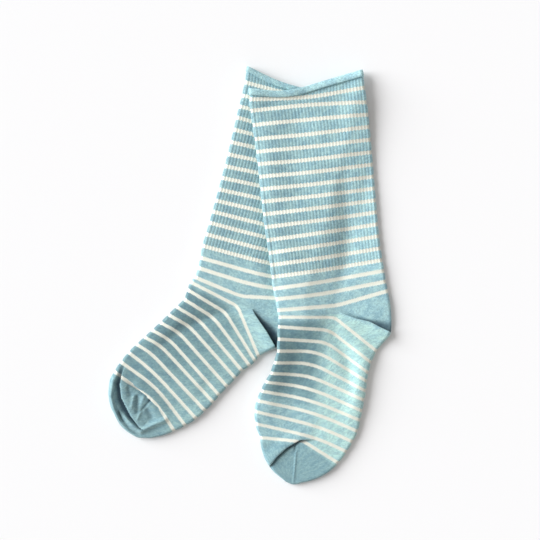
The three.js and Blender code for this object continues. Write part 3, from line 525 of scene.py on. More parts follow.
def relief(shape, x, y):
    """Height of folds and creases, the draw of cloth over a fold's edge, and the share of painted shade
    beside folds and in narrow creases.
    """
    height, shift_x, shift_y, hollow = (np.zeros(x.shape) for _ in range(4))
    for rows in shape.lips:
        distance, near = nearest(rows, x, y, ["rise", "dip", "width"])
        signed = near["side"] * distance
        up = smooth((signed + LIP_STEP) / (2 * LIP_STEP))
        back = 1 - smooth((distance - LIP_STEP) / LIP_REACH)
        height += near["rise"] * up * back
        drawn = near["dip"] * (1 - up) * np.exp(-((distance / near["width"]) ** 4))
        height -= drawn
        # painted shade where the cloth is drawn down beside a fold's edge
        hollow += PAINTED_SHADE_BY_LIP * drawn
        beyond = (distance - LIP_OVERHANG_AT) / LIP_OVERHANG_WIDTH
        over = LIP_OVERHANG * np.exp(-(beyond**2)) * near["rise"] * (distance > LIP_LINE)
        shift_x -= near["way_x"] * over
        shift_y -= near["way_y"] * over
    for rows in shape.creases:
        distance, near = nearest(rows, x, y, ["height", "reach"])
        swell = near["height"] * np.exp(-2 * (distance / near["reach"]) ** 2)
        height += swell
        # painted shade in the bottom of narrow creases
        hollow -= PAINTED_SHADE_BY_CREASE * np.minimum(0, swell) * (near["reach"] < NARROW)
    slow = np.sin(2 * math.pi * (x + 0.3 * y) / RIPPLE_ACROSS)
    slow *= np.sin(2 * math.pi * y / RIPPLE_ALONG + 1)
    quick = np.sin(2 * math.pi * (y - 0.6 * x) / RIPPLE_SLANT + 2)
    height = RELIEF_SCALE * height + RIPPLE * (slow + 0.5 * quick)
    return height, shift_x, shift_y, np.minimum(1, hollow)


Shape = namedtuple("Shape", "name courses lips creases heel_rings hidden_welt lies")


def lift(stripes):
    fade = smooth((stripes - WELT_FOOT) / (WELT_LIFT_END - WELT_FOOT))
    return WELT_UNDER * (1 - fade)


def round_off(stripes):
    past = np.clip((stripes - TOE_ROUND_START) / (TOE_END - TOE_ROUND_START), 0, 1)
    return np.sqrt(np.maximum(0.01, 1 - past**2))


def welt_across(shape, share):
    return 1 - shape.hidden_welt * smooth((share - WELT_FLAT_FROM) / WELT_FLAT_OVER)


def top_samples(shape, size):
    """Points on top of a sock, for another to lie on."""
    stripes = np.concatenate(
        [
            np.arange(WELT_TOP, LAST_LEG_STRIPE, SAMPLE_STRIPES),
            np.arange(LAST_LEG_STRIPE, FIRST_FOOT_STRIPE, HEEL_SAMPLE_STRIPES),
            np.arange(FIRST_FOOT_STRIPE, TOE_END + 0.01, SAMPLE_STRIPES),
        ]
    )
    courses = Courses(shape.courses, stripes)
    share = np.linspace(0, 1, SAMPLES_ACROSS)[None, :]
    along = courses.length * share
    x, y = courses.at(along)
    edge = np.minimum(along, courses.length - along)
    radius = size.half_height
    height = np.sqrt(1 - (1 - np.clip(edge / radius, 0, 1)) ** 2)
    s = stripes[:, None]
    welt = size.welt_height * welt_across(shape, share) * (s < WELT_FOOT)
    raised = radius + welt + relief(shape, x, y)[0]
    z = size.welt_height * lift(s) + radius + raised * height * round_off(s)
    return np.stack([x.ravel(), y.ravel(), z.ravel()], 1)


def blur(grid, sigma):
    reach = int(3 * sigma) + 1
    kernel = np.exp(-0.5 * (np.arange(-reach, reach + 1) / sigma) ** 2)
    kernel /= kernel.sum()
    for axis in (0, 1):
        padded = np.pad(grid, [(reach, reach) if k == axis else (0, 0) for k in (0, 1)], "edge")
        grid = sum(
            w * np.roll(padded, reach - k, axis)
            for k, w in enumerate(kernel)
        )
        grid = grid[reach:-reach, :] if axis == 0 else grid[:, reach:-reach]
    return grid


def lay_over(points, rows):
    """The surface that the upper sock lies on: level over the lower one, then down to zero."""
    xs = [v for row in rows for v in (row.left_x, row.right_x)]
    ys = [v for row in rows for v in (row.left_y, row.right_y)]
    x0, y0 = min(xs) - LAY_ROOM, min(ys) - LAY_ROOM
    columns = np.arange(x0, max(xs) + LAY_ROOM, LAY_GRID)
    lines = np.arange(y0, max(ys) + LAY_ROOM, LAY_GRID)
    grid = np.zeros((len(columns), len(lines)))
    for i, x in enumerate(columns):
        away = np.hypot(points[:, 0, None] - x, points[:, 1, None] - lines[None, :])
        drop = LAY_SLOPE * np.maximum(0, away - LAY_MARGIN)
        grid[i] = np.maximum(0, (points[:, 2, None] + LAY_GAP - drop).max(0))
    grid = blur(grid, LAY_BLUR)

    def height(x, y):
        u = np.clip((x - x0) / LAY_GRID, 0, len(columns) - 1.001)
        v = np.clip((y - y0) / LAY_GRID, 0, len(lines) - 1.001)
        i, j = u.astype(int), v.astype(int)
        fx, fy = u - i, v - j
        near = grid[i, j] * (1 - fx) + grid[i + 1, j] * fx
        far = grid[i, j + 1] * (1 - fx) + grid[i + 1, j + 1] * fx
        return near * (1 - fy) + far * fy

    return height


def across(length, radius, per_rib, edge_steps):
    """Places across the upper or lower side: along, height, outward way and rib number."""
    turn = np.arange(edge_steps) / edge_steps * math.pi / 2
    middle = np.arange(RIBS_ACROSS * per_rib + 1) / (RIBS_ACROSS * per_rib)
    edge = radius * (1 - np.cos(turn))[None, :]
    along = np.concatenate(
        [
            np.broadcast_to(edge, (len(length), edge_steps)),
            radius + (length - 2 * radius) * middle[None, :],
            length - edge[:, ::-1],
        ],
        axis=1,
    )
    height = np.concatenate([np.sin(turn), np.ones(len(middle)), np.sin(turn)[::-1]])
    out = np.concatenate([-np.cos(turn), np.zeros(len(middle)), np.cos(turn)[::-1]])
    edge_rib = -EDGE_RIBS * (1 - turn / (math.pi / 2))
    rib = np.concatenate([edge_rib, RIBS_ACROSS * middle, RIBS_ACROSS - edge_rib[::-1]])
    return along, height[None, :], out[None, :], rib[None, :]


def welt_rings():
    """Stripe numbers and heights of the rings round the rolled welt, as shares of its height."""
    turn = np.radians(np.linspace(-40, 215, 16))
    middle, half = (WELT_TOP + WELT_EDGE) / 2, (WELT_EDGE - WELT_TOP) / 2
    return middle - half * np.cos(turn), np.maximum(0.02, 0.5 + 0.5 * np.sin(turn))


def side(shape, size, rings, upper):
    """Points, rib numbers and the share of painted fold shade for the outside of one side of a sock."""
    stripes, out = rings
    courses = Courses(shape.courses, stripes)
    s = stripes[:, None]
    out = size.welt_height * out[:, None]
    spread = WELT_SPREAD * out
    length = courses.length + 2 * spread
    steps = UPPER_STEPS if upper else LOWER_STEPS
    along, height, way, rib = across(length, size.half_height, *steps)
    share = along / length
    ribbed = (1 - smooth((s - RIB_FADE_START) / (RIB_FADE_END - RIB_FADE_START))) * (out == 0)
    groove = size.rib_depth * ribbed * (0.5 - 0.5 * np.cos(2 * math.pi * rib)) ** GROOVE_SHAPE
    on_leg = np.where(s <= LAST_LEG_STRIPE + 0.5, LAST_LEG_STRIPE, LAST_STRIPE)
    first = np.where(s < LAST_LEG_STRIPE + 0.5, 0, FIRST_FOOT_STRIPE)
    stripe = np.clip(np.round(s), first, on_leg)
    pinch = np.exp(-(((s - stripe) / PINCH_SPREAD) ** 2)) * (1 - smooth((s - PINCH_END) / 0.3))
    pinch = pinch * (PINCH + PINCH_AT_SIDES * np.abs(way))
    inward = groove + pinch
    x, y = courses.at(along - spread - way * inward)
    raise_by, shift_x, shift_y, hollow = relief(shape, x, y)
    middle = shape.lies(x, y) + size.welt_height * lift(s) + size.half_height
    if upper:
        edge = height**2
        x, y = x + shift_x * edge, y + shift_y * edge
        radius = size.half_height + out * welt_across(shape, share)
        z = middle + (radius - inward + raise_by * height) * height * round_off(s)
    else:
        radius = size.half_height + out * WELT_UNDER
        z = middle - (radius - inward * LOWER_RELIEF) * height * round_off(s)
    return np.stack([x, y, z], 2), np.broadcast_to(rib, x.shape), hollow if upper else 0 * hollow


def inside(shape, size, rings, upper):
    stripes, _ = rings
    courses = Courses(shape.courses, stripes)
    s = stripes[:, None]
    radius = size.half_height - size.wall
    length = courses.length - 2 * size.wall
    steps = UPPER_STEPS if upper else LOWER_STEPS
    along, height, _, rib = across(length, radius, *steps)
    x, y = courses.at(along + size.wall)
    middle = shape.lies(x, y) + size.welt_height * lift(s) + size.half_height
    sunk = np.clip(relief(shape, x, y)[0], -MOST_SUNK, 0)
    z = middle + (radius + sunk) * height if upper else middle - radius * height
    return np.stack([x, y, z], 2), np.broadcast_to(rib, x.shape), np.zeros(x.shape)


def zip_ends(upper, lower):
    """Triangles between two runs of point numbers that share their two ends."""
    faces, i, j = [], 0, 0
    while i + 1 < len(upper) or j + 1 < len(lower):
        ahead = (i + 1) / (len(upper) - 1) <= (j + 1) / (len(lower) - 1)
        if j + 1 == len(lower) or (i + 1 < len(upper) and ahead):
            face = (upper[i], lower[j], upper[i + 1])
            i += 1
        else:
            face = (upper[i], lower[j], lower[j + 1])
            j += 1
        if len(set(face)) == 3:
            faces.append(face)
    return faces


def ring_stripes(shape):
    """Stripe numbers of all rings outside a sock, and how far the welt stands out at each."""
    heel_low, heel_fold, heel_high = shape.heel_rings
    welt, out = welt_rings()
    stripes = np.concatenate(
        [
            welt,
            np.linspace(WELT_UNDERCUT, LAST_LEG_STRIPE, 190, endpoint=False),
            np.linspace(LAST_LEG_STRIPE, heel_fold - HEEL_BAND, heel_low, endpoint=False),
            np.linspace(heel_fold - HEEL_BAND, heel_fold + HEEL_BAND, 26, endpoint=False),
            np.linspace(heel_fold + HEEL_BAND, FIRST_FOOT_STRIPE, heel_high, endpoint=False),
            np.linspace(FIRST_FOOT_STRIPE, LAST_STRIPE, 110, endpoint=False),
            np.linspace(LAST_STRIPE, TOE_ROUND_START, 28, endpoint=False),
            TOE_ROUND_START + (TOE_END - TOE_ROUND_START) * np.sin(np.arange(9) / 8 * math.pi / 2),
        ]
    )
    return stripes, np.concatenate([out, np.zeros(len(stripes) - len(out))])


def loops_of(upper, lower):
    """Closed rings: the upper side from left to right, then the lower side back."""
    return np.concatenate([upper, lower[:, -2:0:-1]], axis=1)


def build_sock(shape, size):
    stripes, out = ring_stripes(shape)
    within = np.concatenate(
        [
            [-0.94, -0.5],
            np.linspace(1, 16, 10),
            [17, 17.4, 17.8],
            np.linspace(18.5, 31.5, 10),
            [HOLLOW_END],
        ]
    )
    grids, ribs, painted_fold_shades = [], [], []
    for make, rings in ((side, (stripes, out)), (inside, (within, None))):
        upper, upper_rib, upper_painted_shade = make(shape, size, rings, True)
        lower, lower_rib, lower_painted_shade = make(shape, size, rings, False)
        painted_fold_shades.append(loops_of(upper_painted_shade, lower_painted_shade))
        lower[:, 0], lower[:, -1] = upper[:, 0], upper[:, -1]
        grids.append(loops_of(upper, lower))
        ribs.append(loops_of(upper_rib, 2 * (RIBS_ACROSS + EDGE_RIBS) - lower_rib))
        width = upper.shape[1]
    points = np.concatenate([g.reshape(-1, 3) for g in grids])
    points = (points - [CENTRE_X, CENTRE_Y, 0]) * MM
    n_out, around = grids[0].shape[:2]
    n_in = grids[1].shape[0]
    columns = np.arange(around)
    following = (columns + 1) % around

    def band(first_ring, second_ring, flip):
        a, b = first_ring * around, second_ring * around
        quad = [a + columns, b + columns, b + following, a + following]
        return np.stack(quad[::-1] if flip else quad, 1)

    quads, corner_ring, corner_column = [], [], []
    pairs = [(i, i + 1, False) for i in range(n_out - 1)]
    pairs += [(n_out + i, n_out + i + 1, True) for i in range(n_in - 1)]
    pairs.append((n_out, 0, False))
    for first, second, flip in pairs:
        quads.append(band(first, second, flip))
        ring = [first, second, second, first]
        column = [columns, columns, columns + 1, columns + 1]
        corner_ring.append(np.tile(ring[::-1] if flip else ring, (around, 1)))
        corner_column.append(np.stack(column[::-1] if flip else column, 1))
    quads = np.concatenate(quads)
    corner_ring, corner_column = np.concatenate(corner_ring), np.concatenate(corner_column)

    caps = []
    for last, flip in ((n_out - 1, False), (n_out + n_in - 1, True)):
        start = last * around
        upper_run = [start + k for k in range(width)]
        lower_run = [start + k for k in (0, *range(around - 1, width - 1, -1), width - 1)]
        for face in zip_ends(upper_run, lower_run):
            caps.append(face[::-1] if flip else face)
    caps = np.array(caps)

    # Where each point is in the knit: wale and course numbers, and millimetres from a stripe.
    outer = grids[0]
    run = np.zeros(outer.shape[:2])
    run[1:] = np.cumsum(np.linalg.norm(np.diff(outer, axis=0), axis=2), axis=0)
    first_ring = len(welt_rings()[0])
    run = run - run[first_ring]
    best = np.full(run.shape, np.inf)
    for number in range(LAST_STRIPE + 1):
        i = first_ring + int(np.searchsorted(stripes[first_ring:], number)) - 1
        w = (number - stripes[i]) / (stripes[i + 1] - stripes[i])
        best = np.minimum(best, np.abs(run - (run[i] * (1 - w) + run[i + 1] * w)))
    leg = slice(first_ring, None)
    inner_run = np.array([np.interp(within, stripes[leg], run[leg, k]) for k in range(around)]).T
    inner_best = np.array([np.interp(within, stripes[leg], best[leg, k]) for k in range(around)]).T
    run_all = np.concatenate([run, inner_run])
    best_all = np.concatenate([best, inner_best])
    rib_all = np.concatenate(ribs)
    stripe_all = np.concatenate([stripes, within])

    def extend(values, wrap):
        return np.concatenate([values, values[:, :1] + wrap], axis=1)

    full_round = 2 * (RIBS_ACROSS + 2 * EDGE_RIBS)
    rib_all = extend(rib_all, full_round)
    run_all, best_all = extend(run_all, 0), extend(best_all, 0)
    painted_fold_shade_all = extend(np.concatenate(painted_fold_shades), 0)

    mesh = bpy.data.meshes.new(shape.name)
    faces = len(quads) + len(caps)
    mesh.vertices.add(len(points))
    mesh.vertices.foreach_set("co", points.ravel())
    mesh.loops.add(quads.size + caps.size)
    mesh.loops.foreach_set("vertex_index", np.concatenate([quads.ravel(), caps.ravel()]))
    mesh.polygons.add(faces)
    starts = np.concatenate([np.arange(len(quads)) * 4, quads.size + np.arange(len(caps)) * 3])
    mesh.polygons.foreach_set("loop_start", starts)
    mesh.polygons.foreach_set("use_smooth", np.ones(faces, bool))

    cap_ring = caps // around
    cap_column = caps % around
    ring = np.concatenate([corner_ring.ravel(), cap_ring.ravel()])
    column = np.concatenate([corner_column.ravel(), cap_column.ravel()])
    knit = np.stack([rib_all[ring, column] * WALES_PER_RIB, run_all[ring, column] / COURSE_MM], 1)
    stripe = np.stack([best_all[ring, column], stripe_all[ring]], 1)
    # share of painted shade in folds, kept in its own UV layer
    hollow = np.stack([painted_fold_shade_all[ring, column], 0 * ring], 1)
    for name, values in (("knit", knit), ("stripe", stripe), ("hollow", hollow)):
        layer = mesh.uv_layers.new(name=name)
        layer.data.foreach_set("uv", values.astype(np.float32).ravel())
    mesh.update(calc_edges=True)
    mesh.validate()
    piece = bpy.data.objects.new(shape.name, mesh)
    bpy.context.scene.collection.objects.link(piece)
    return piece


# Materials


class Graph:
    """Short calls for the nodes of one tree."""

    def __init__(self, tree):
        self.tree = tree

    def node(self, kind, links=None, **values):
        made = self.tree.nodes.new(kind)
        for name, value in values.items():
            setattr(made, name, value)
        for socket, value in (links or {}).items():
            if isinstance(value, bpy.types.NodeSocket):
                self.tree.links.new(value, made.inputs[socket])
            else:
                made.inputs[socket].default_value = value
        return made

    def math(self, operation, a, b=0.0, c=None):
        links = {0: a, 1: b}
        if c is not None:
            links[2] = c
        return self.node("ShaderNodeMath", links, operation=operation).outputs[0]

    def ramp(self, value, low, high, out_low=0.0, out_high=1.0):
        links = {1: low, 2: high, 3: out_low, 4: out_high, "Value": value}
        made = self.node("ShaderNodeMapRange", links, interpolation_type="SMOOTHSTEP")
        return made.outputs["Result"]

    def mix(self, share, a, b, blend="MIX"):
        made = self.node("ShaderNodeMix", data_type="RGBA", blend_type=blend)
        for socket, value in ((0, share), (6, a), (7, b)):
            if isinstance(value, bpy.types.NodeSocket):
                self.tree.links.new(value, made.inputs[socket])
            else:
                made.inputs[socket].default_value = value
        return made.outputs[2]

    def tinted(self, colour, share):
        """A colour with its brightness multiplied by a share."""
        grey = self.node("ShaderNodeCombineColor", {0: share, 1: share, 2: share}).outputs[0]
        return self.mix(1.0, colour, grey, "MULTIPLY")

    def noise(self, vector, scale, detail=2.0, roughness=0.5):
        links = {"Vector": vector, "Scale": scale, "Detail": detail, "Roughness": roughness}
        return self.node("ShaderNodeTexNoise", links).outputs["Fac"]


def new_group(name, inputs, outputs):
    group = bpy.data.node_groups.new(name, "ShaderNodeTree")
    for label, kind, default in inputs:
        socket = group.interface.new_socket(label, in_out="INPUT", socket_type=kind)
        if default is not None:
            socket.default_value = default
    for label, kind in outputs:
        group.interface.new_socket(label, in_out="OUTPUT", socket_type=kind)
    graph = Graph(group)
    return group, graph, graph.node("NodeGroupInput").outputs, graph.node("NodeGroupOutput").inputs


def knit_group():
    """Loops of plain knit: each wale is a column of V shaped stitches."""
    group, g, given, put = new_group(
        "Knit loops",
        [("Stitches", "NodeSocketVector", None), ("Slant", "NodeSocketFloat", 0.9)],
        [("Height", "NodeSocketFloat"), ("Yarn", "NodeSocketFloat")],
    )
    parts = g.node("ShaderNodeSeparateXYZ", {0: given["Stitches"]}).outputs
    wale = g.math("SUBTRACT", g.math("FRACT", parts[0]), 0.5)
    off = g.math("ABSOLUTE", wale)
    slanted = g.math("MULTIPLY_ADD", off, given["Slant"], parts[1])
    wave = g.math("COSINE", g.math("MULTIPLY", slanted, 2 * math.pi))
    loop = g.math("MULTIPLY_ADD", wave, 0.5, 0.5)
    leg = g.math("SINE", g.math("MULTIPLY", off, 2 * math.pi))
    leg = g.math("POWER", g.math("MAXIMUM", leg, 0.0), 0.5)
    height = g.math("MULTIPLY", leg, g.math("MULTIPLY_ADD", loop, 0.6, 0.4))
    cell = g.node(
        "ShaderNodeCombineXYZ", {0: g.math("FLOOR", parts[0]), 1: g.math("FLOOR", slanted)}
    ).outputs[0]
    yarn = g.node("ShaderNodeTexWhiteNoise", {"Vector": cell}, noise_dimensions="2D").outputs["Value"]
    for name, value in (("Height", height), ("Yarn", yarn)):
        g.tree.links.new(value, put[name])
    return group


def stripe_group():
    """Mask of the pale stripes, with edges that step from stitch to stitch."""
    group, g, given, put = new_group(
        "Pale stripes",
        [
            ("Place", "NodeSocketVector", None),
            ("Stitches", "NodeSocketVector", None),
            ("Leg Half Width", "NodeSocketFloat", 1.25),
            ("Foot Half Width", "NodeSocketFloat", 1.08),
            ("Step", "NodeSocketFloat", 0.25),
        ],
        [("Mask", "NodeSocketFloat"), ("Ribbed", "NodeSocketFloat"), ("Welt", "NodeSocketFloat")],
    )
    place = g.node("ShaderNodeSeparateXYZ", {0: given["Place"]}).outputs
    stitch = g.node("ShaderNodeSeparateXYZ", {0: given["Stitches"]}).outputs
    foot = g.ramp(place[1], *HEEL_TURN)
    half = g.node(
        "ShaderNodeMix", {0: foot, 2: given["Leg Half Width"], 3: given["Foot Half Width"]}
    ).outputs[0]
    ribbed = g.ramp(place[1], RIB_FADE_START, RIB_FADE_END, 1.0, 0.0)
    rib = g.math("COSINE", g.math("MULTIPLY", stitch[0], math.pi))
    wale = g.math("COSINE", g.math("MULTIPLY", stitch[0], 2 * math.pi))
    step = g.node("ShaderNodeMix", {0: ribbed, 2: wale, 3: rib}).outputs[0]
    shifted = g.math("MULTIPLY_ADD", step, given["Step"], place[0])
    wander = g.noise(given["Stitches"], 0.35, 1.0)
    shifted = g.math("MULTIPLY_ADD", g.math("SUBTRACT", wander, 0.5), 0.5, shifted)
    inside_by = g.math("SUBTRACT", half, shifted)
    mask = g.ramp(inside_by, -0.22, 0.22)
    g.tree.links.new(mask, put["Mask"])
    g.tree.links.new(ribbed, put["Ribbed"])
    g.tree.links.new(g.ramp(place[1], WELT_FOOT - 0.04, WELT_FOOT, 1.0, 0.0), put["Welt"])
    return group


def colour4(value):
    return (*value, 1.0)


# Painted light and shade of one sock: brightness of its ground, share of the foot's deeper colour,
# partly the closer knit's own and partly painted shade on the instep side, lost at the ball, share
# of the leg's painted light and shade across, where across and how far the sole side is paler with
# painted light, and share of the deeper colour on the toe.
Look = namedtuple("Look", "deepness ball leg_turn sole_start sole_end sole toe")
UNDER_LOOK = Look(1.0, 0.2, 0.3, 0.15, 0.95, 0.55, 0.3)
OVER_LOOK = Look(1.0, 0.75, 1.0, 0.36, 0.6, 1.0, 0.55)


def shade_of_place(g, row, across, look):
    """Share of the deeper colour, partly its own and partly painted shade, brightness of the ground
    with painted light and shade across the leg, and share of the sole's painted light.
    """
    toe = g.ramp(row, *TOE_SHADE)
    drift = g.math("MULTIPLY", g.math("SUBTRACT", row, SOLE_MIDDLE), SOLE_DRIFT)
    drifted = g.math("SUBTRACT", across, drift)
    sole = g.ramp(drifted, look.sole_start, look.sole_end, 0.0, look.sole)
    sole = g.math("MULTIPLY", sole, g.ramp(across, *SOLE_UNDER, 1.0, 0.0))
    deeper = g.math("MULTIPLY", g.ramp(row, *FOOT_SHADE), g.ramp(row, *BALL, 1.0, 1.0 - look.ball))
    deeper = g.math("MULTIPLY", deeper, g.math("SUBTRACT", 1.0, sole))
    deeper = g.node("ShaderNodeMix", {0: toe, 2: deeper, 3: look.toe}).outputs[0]
    past_heel = g.ramp(row, HEEL_FOLD, HEEL_FOLD + 0.1)
    lit = g.math("MULTIPLY", sole, g.math("MULTIPLY", past_heel, g.math("SUBTRACT", 1.0, toe)))
    ground_gain_and_painted_light = g.math("MULTIPLY_ADD", lit, SOLE_PAINTED_LIGHT, look.deepness)
    leg = g.ramp(row, *LEG_PAINTED_SHADING, look.leg_turn, 0.0)
    left = g.ramp(across, *LEFT_REACH, -LEFT_PAINTED_SHADE, 0.0)
    left = g.math("MULTIPLY", g.ramp(across, *LEFT_EDGE), left)
    right = g.ramp(across, *RIGHT_REACH, 0.0, RIGHT_PAINTED_LIGHT)
    right = g.math("MULTIPLY", right, g.ramp(across, *RIGHT_EDGE, 1.0, 0.0))
    ground_gain_and_painted_light = g.math("ADD", ground_gain_and_painted_light, g.math("MULTIPLY", leg, g.math("ADD", left, right)))
    return deeper, ground_gain_and_painted_light, lit


def knit_material(name, look, knit, stripes, place_look):
    material = bpy.data.materials.new(name)
    material.use_nodes = True
    g = Graph(material.node_tree)
    g.tree.nodes.clear()
    stitches = g.node("ShaderNodeUVMap", uv_map="knit").outputs[0]
    place = g.node("ShaderNodeUVMap", uv_map="stripe").outputs[0]
    loops = g.node("ShaderNodeGroup", {"Stitches": stitches}, node_tree=knit).outputs
    marks = g.node("ShaderNodeGroup", {"Place": place, "Stitches": stitches}, node_tree=stripes).outputs

    patch = g.ramp(g.noise(stitches, PATCH_SCALE, 4.0, 0.65), *CONTRAST)
    fleck = g.noise(stitches, FLECK_SCALE, 4.0, 0.7)
    heather = g.math("MULTIPLY_ADD", g.math("SUBTRACT", loops["Yarn"], 0.5), 0.5, patch)
    ground = g.mix(heather, colour4(look.ground), colour4(look.ground_pale))
    pale = g.mix(g.ramp(fleck, *CONTRAST), colour4(look.stripe), colour4(look.stripe_shade))
    # Darker yarn and flecks at random, then painted shade between the loops and in the grooves between
    # ribs
    shade = g.math("MULTIPLY_ADD", loops["Yarn"], 0.16, 0.92)
    shade = g.math("MULTIPLY", shade, g.math("MULTIPLY_ADD", fleck, 0.9, 0.55))
    painted_loop_shade = g.math("MULTIPLY_ADD", loops["Height"], 0.22, 0.87)
    shade = g.math("MULTIPLY", shade, painted_loop_shade)
    rib = g.node("ShaderNodeSeparateXYZ", {0: stitches}).outputs[0]
    low = g.math("MULTIPLY_ADD", g.math("COSINE", g.math("MULTIPLY", rib, math.pi)), -0.5, 0.5)
    ribbed = g.math("SUBTRACT", marks["Ribbed"], marks["Welt"])
    low = g.math("MULTIPLY", g.math("POWER", low, 2.0), ribbed)
    shade = g.math("MULTIPLY", shade, g.math("MULTIPLY_ADD", low, -RIB_GROOVE_PAINTED_SHADE, 1.0))
    paler = g.math("MULTIPLY_ADD", g.math("SUBTRACT", 1.0, shade), STRIPE_SHADE, shade)
    ground = g.tinted(ground, shade)
    row = g.node("ShaderNodeSeparateXYZ", {0: place}).outputs[1]
    # Painted shade in folds: the share in the hollow layer pulls the colour toward the fold shade
    # colour.
    depth = g.node("ShaderNodeUVMap", uv_map="hollow").outputs[0]
    hollow = g.node("ShaderNodeSeparateXYZ", {0: depth}).outputs[0]
    foot = g.ramp(row, *FOOT_SHADE)
    across = g.math("DIVIDE", rib, float(RIBS_ACROSS * WALES_PER_RIB))
    # painted shade on the foot's instep side, painted light on its sole side and across the leg
    deeper, ground_gain_and_painted_light, sole = shade_of_place(g, row, across, place_look)
    ground = g.mix(deeper, ground, g.mix(1.0, ground, colour4(look.foot_knit_and_painted_shade), "MULTIPLY"))
    ground = g.tinted(ground, ground_gain_and_painted_light)
    ground = g.mix(sole, ground, g.mix(1.0, ground, SOLE_PAINTED_LIGHT_TINT, "MULTIPLY"))
    dots = g.ramp(g.noise(stitches, DOT_SCALE, 2.0, 0.6), 0.42, 0.6)
    dots = g.math("MULTIPLY_ADD", dots, WELT_SPECKLE, WELT_GAIN)
    welt = g.math("MULTIPLY", marks["Welt"], g.math("SUBTRACT", 1.0, marks["Mask"]))
    ground = g.tinted(ground, g.math("MULTIPLY_ADD", welt, g.math("SUBTRACT", dots, 1.0), 1.0))
    pale = g.tinted(pale, g.math("MULTIPLY", paler, g.math("MULTIPLY_ADD", foot, FOOT_PALE - 1.0, 1.0)))
    base = g.mix(marks["Mask"], ground, pale)
    # painted shade in folds
    base = g.mix(1.0, base, g.mix(hollow, colour4((1, 1, 1)), colour4(look.painted_fold_shade)), "MULTIPLY")

    fibre = g.noise(stitches, FIBRE_SCALE, 3.0, 0.7)
    height = g.math("MULTIPLY_ADD", fibre, 0.35, loops["Height"])
    bump = g.node("ShaderNodeBump", {"Height": height, "Strength": 0.5, "Distance": 0.0003})
    shader = g.node(
        "ShaderNodeBsdfPrincipled",
        {
            "Base Color": base,
            "Roughness": 0.92,
            "Specular IOR Level": 0.2,
            "Sheen Weight": 0.25,
            "Sheen Roughness": 0.5,
            "Normal": bump.outputs["Normal"],
        },
    )
    out = g.node("ShaderNodeOutputMaterial")
    g.tree.links.new(shader.outputs[0], out.inputs["Surface"])
    return material


def plain_material(name, colour, roughness):
    material = bpy.data.materials.new(name)
    material.use_nodes = True
    shader = material.node_tree.nodes["Principled BSDF"]
    shader.inputs["Base Color"].default_value = colour4(colour)
    shader.inputs["Roughness"].default_value = roughness
    return material


# Settings, operators and panel


class SockSettings(bpy.types.PropertyGroup):
    """Sizes and colours of the pair, in millimetres where a size has no unit of its own."""

    wall: bpy.props.FloatProperty(
        name="Wall", description="Thickness of the knit, in millimetres", default=1.3
    )
    half_height: bpy.props.FloatProperty(
        name="Half height", description="Half the height of a flat sock, in millimetres",
        default=2.0,
    )
    rib_depth: bpy.props.FloatProperty(
        name="Rib depth", description="Depth of the ribs, in millimetres", default=0.28
    )
    welt_height: bpy.props.FloatProperty(
        name="Welt height", description="How far the rolled welt stands out, in millimetres",
        default=1.5,
    )
    ground: bpy.props.FloatVectorProperty(
        name="Ground", description="Blue-green ground yarn", subtype="COLOR", size=3,
        default=(0.32, 0.54, 0.61),
    )
    ground_pale: bpy.props.FloatVectorProperty(
        name="Pale ground", description="Ground yarn where it is paler", subtype="COLOR", size=3,
        default=(0.44, 0.68, 0.70),
    )
    stripe: bpy.props.FloatVectorProperty(
        name="Stripe", description="Pale stripe yarn", subtype="COLOR", size=3,
        default=(0.91, 0.92, 0.83),
    )
    stripe_shade: bpy.props.FloatVectorProperty(
        name="Stripe shade", description="Pale yarn where it is darker", subtype="COLOR", size=3,
        default=(0.87, 0.88, 0.76),
    )
    # partly the closer foot knit's own colour and partly painted shade on the instep side
    foot_knit_and_painted_shade: bpy.props.FloatVectorProperty(
        name="Foot tint", description="Colour of the closer foot knit beside the leg's",
        subtype="COLOR", size=3, default=(0.5, 0.55, 0.57),
    )
    under_ground: bpy.props.FloatProperty(
        name="Lower ground",
        description="Brightness of the lower sock's ground beside the upper one's", default=0.9,
    )
    # painted shade: the colour the knit goes to deep in a fold
    painted_fold_shade: bpy.props.FloatVectorProperty(
        name="Painted fold shade", description="Colour left of the knit deep in a fold", subtype="COLOR",
        size=3, default=(0.13, 0.15, 0.19),
    )


class StageSettings(bpy.types.PropertyGroup):
    """The surface, the light and the camera."""

    key_power: bpy.props.FloatProperty(
        name="Key light", description="Strength of the light from the left", default=4.35
    )
    world: bpy.props.FloatProperty(
        name="Room light", description="Strength of the even light", default=0.425
    )
    camera_height: bpy.props.FloatProperty(
        name="Camera height", description="Height above the surface", default=0.833,
        unit="LENGTH",
    )


class SOCKS_OT_pair(bpy.types.Operator):
    """Build both knitted socks"""

    bl_idname = "socks.pair"
    bl_label = "Add the socks"

    def execute(self, context):
        size = context.scene.sock_settings
        knit, stripes = knit_group(), stripe_group()
        under_heel = (16, 17.64, 12)  # rings before the fold, its stripe number, rings after it
        over_heel = (18, 17.6, 12)
        under_tables = (UNDER_COURSES, UNDER_LIPS, UNDER_CREASES)
        over_tables = (OVER_COURSES, OVER_LIPS, OVER_CREASES)
        under_look = UNDER_LOOK._replace(deepness=size.under_ground)

        def surface(x, y):
            return 0 * x

        under = Shape("knit_sock_under", *under_tables, under_heel, WELT_FLATTENED, surface)
        ground = lay_over(top_samples(under, size), OVER_COURSES)
        over = Shape("knit_sock_over", *over_tables, over_heel, 0.0, ground)
        for shape, node, slot, below, place_look in (
            (under, "sock_under", "knit_under", ["floor"], under_look),
            (over, "sock_over", "knit_over", ["knit_sock_under", "floor"], OVER_LOOK),
        ):
            piece = build_sock(shape, size)
            piece.data.materials.append(knit_material(slot, size, knit, stripes, place_look))
            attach(piece, "root")
            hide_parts(node)
        return {"FINISHED"}


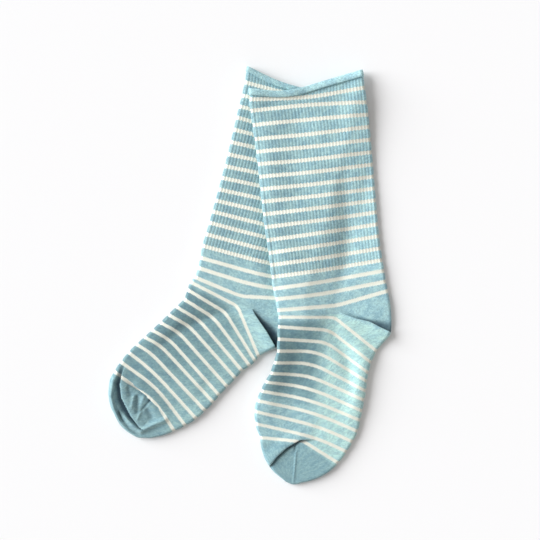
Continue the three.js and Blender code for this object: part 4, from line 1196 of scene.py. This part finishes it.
class SOCKS_OT_stage(bpy.types.Operator):
    """Add the pale surface, the light and the camera"""

    bl_idname = "socks.stage"
    bl_label = "Add the stage"

    def execute(self, context):
        stage = context.scene.stage_settings
        bpy.ops.mesh.primitive_plane_add(size=FLOOR_SIZE, location=(0, 0, FLOOR_Z))
        floor = context.active_object
        floor.name = "floor"
        floor.data.materials.append(plain_material("pale surface", SURFACE, 0.8))

        world = bpy.data.worlds.new("Room")
        world.use_nodes = True
        shade = world.node_tree.nodes["Background"].inputs
        shade["Color"].default_value = colour4(ROOM_COLOUR)
        shade["Strength"].default_value = stage.world
        context.scene.world = world

        light = bpy.data.lights.new("window", "SUN")
        light.angle = math.radians(KEY_ANGLE)
        light.energy = stage.key_power
        light.color = KEY_COLOUR
        lamp = bpy.data.objects.new("window", light)
        lamp.location = KEY_PLACE
        lamp.rotation_euler = (-lamp.location).to_track_quat("-Z", "Y").to_euler()
        context.scene.collection.objects.link(lamp)

        lens = bpy.data.cameras.new("camera")
        lens.lens = LENS
        lens.sensor_width = SENSOR
        camera = bpy.data.objects.new("camera", lens)
        camera.location = (CAMERA_X, CAMERA_Y, stage.camera_height)
        context.scene.collection.objects.link(camera)
        context.scene.camera = camera
        context.scene.view_settings.view_transform = "Standard"
        return {"FINISHED"}


class SOCKS_PT_panel(bpy.types.Panel):
    """Sock pair tools"""

    bl_idname = "SOCKS_PT_panel"
    bl_label = "Sock pair"
    bl_space_type = "VIEW_3D"
    bl_region_type = "UI"
    bl_category = "Socks"

    def draw(self, context):
        for group in (context.scene.sock_settings, context.scene.stage_settings):
            for name in group.__annotations__:
                self.layout.prop(group, name)
        for operator in (SOCKS_OT_pair, SOCKS_OT_stage):
            self.layout.operator(operator.bl_idname)


CLASSES = (SockSettings, StageSettings, SOCKS_OT_pair, SOCKS_OT_stage, SOCKS_PT_panel)


def register():
    for item in CLASSES:
        bpy.utils.register_class(item)
    bpy.types.Scene.sock_settings = bpy.props.PointerProperty(type=SockSettings)
    bpy.types.Scene.stage_settings = bpy.props.PointerProperty(type=StageSettings)


def unregister():
    del bpy.types.Scene.stage_settings
    del bpy.types.Scene.sock_settings
    for item in reversed(CLASSES):
        bpy.utils.unregister_class(item)


def main():
    register()
    bpy.ops.socks.pair()
    bpy.ops.socks.stage()


if __name__ == "__main__":
    main()
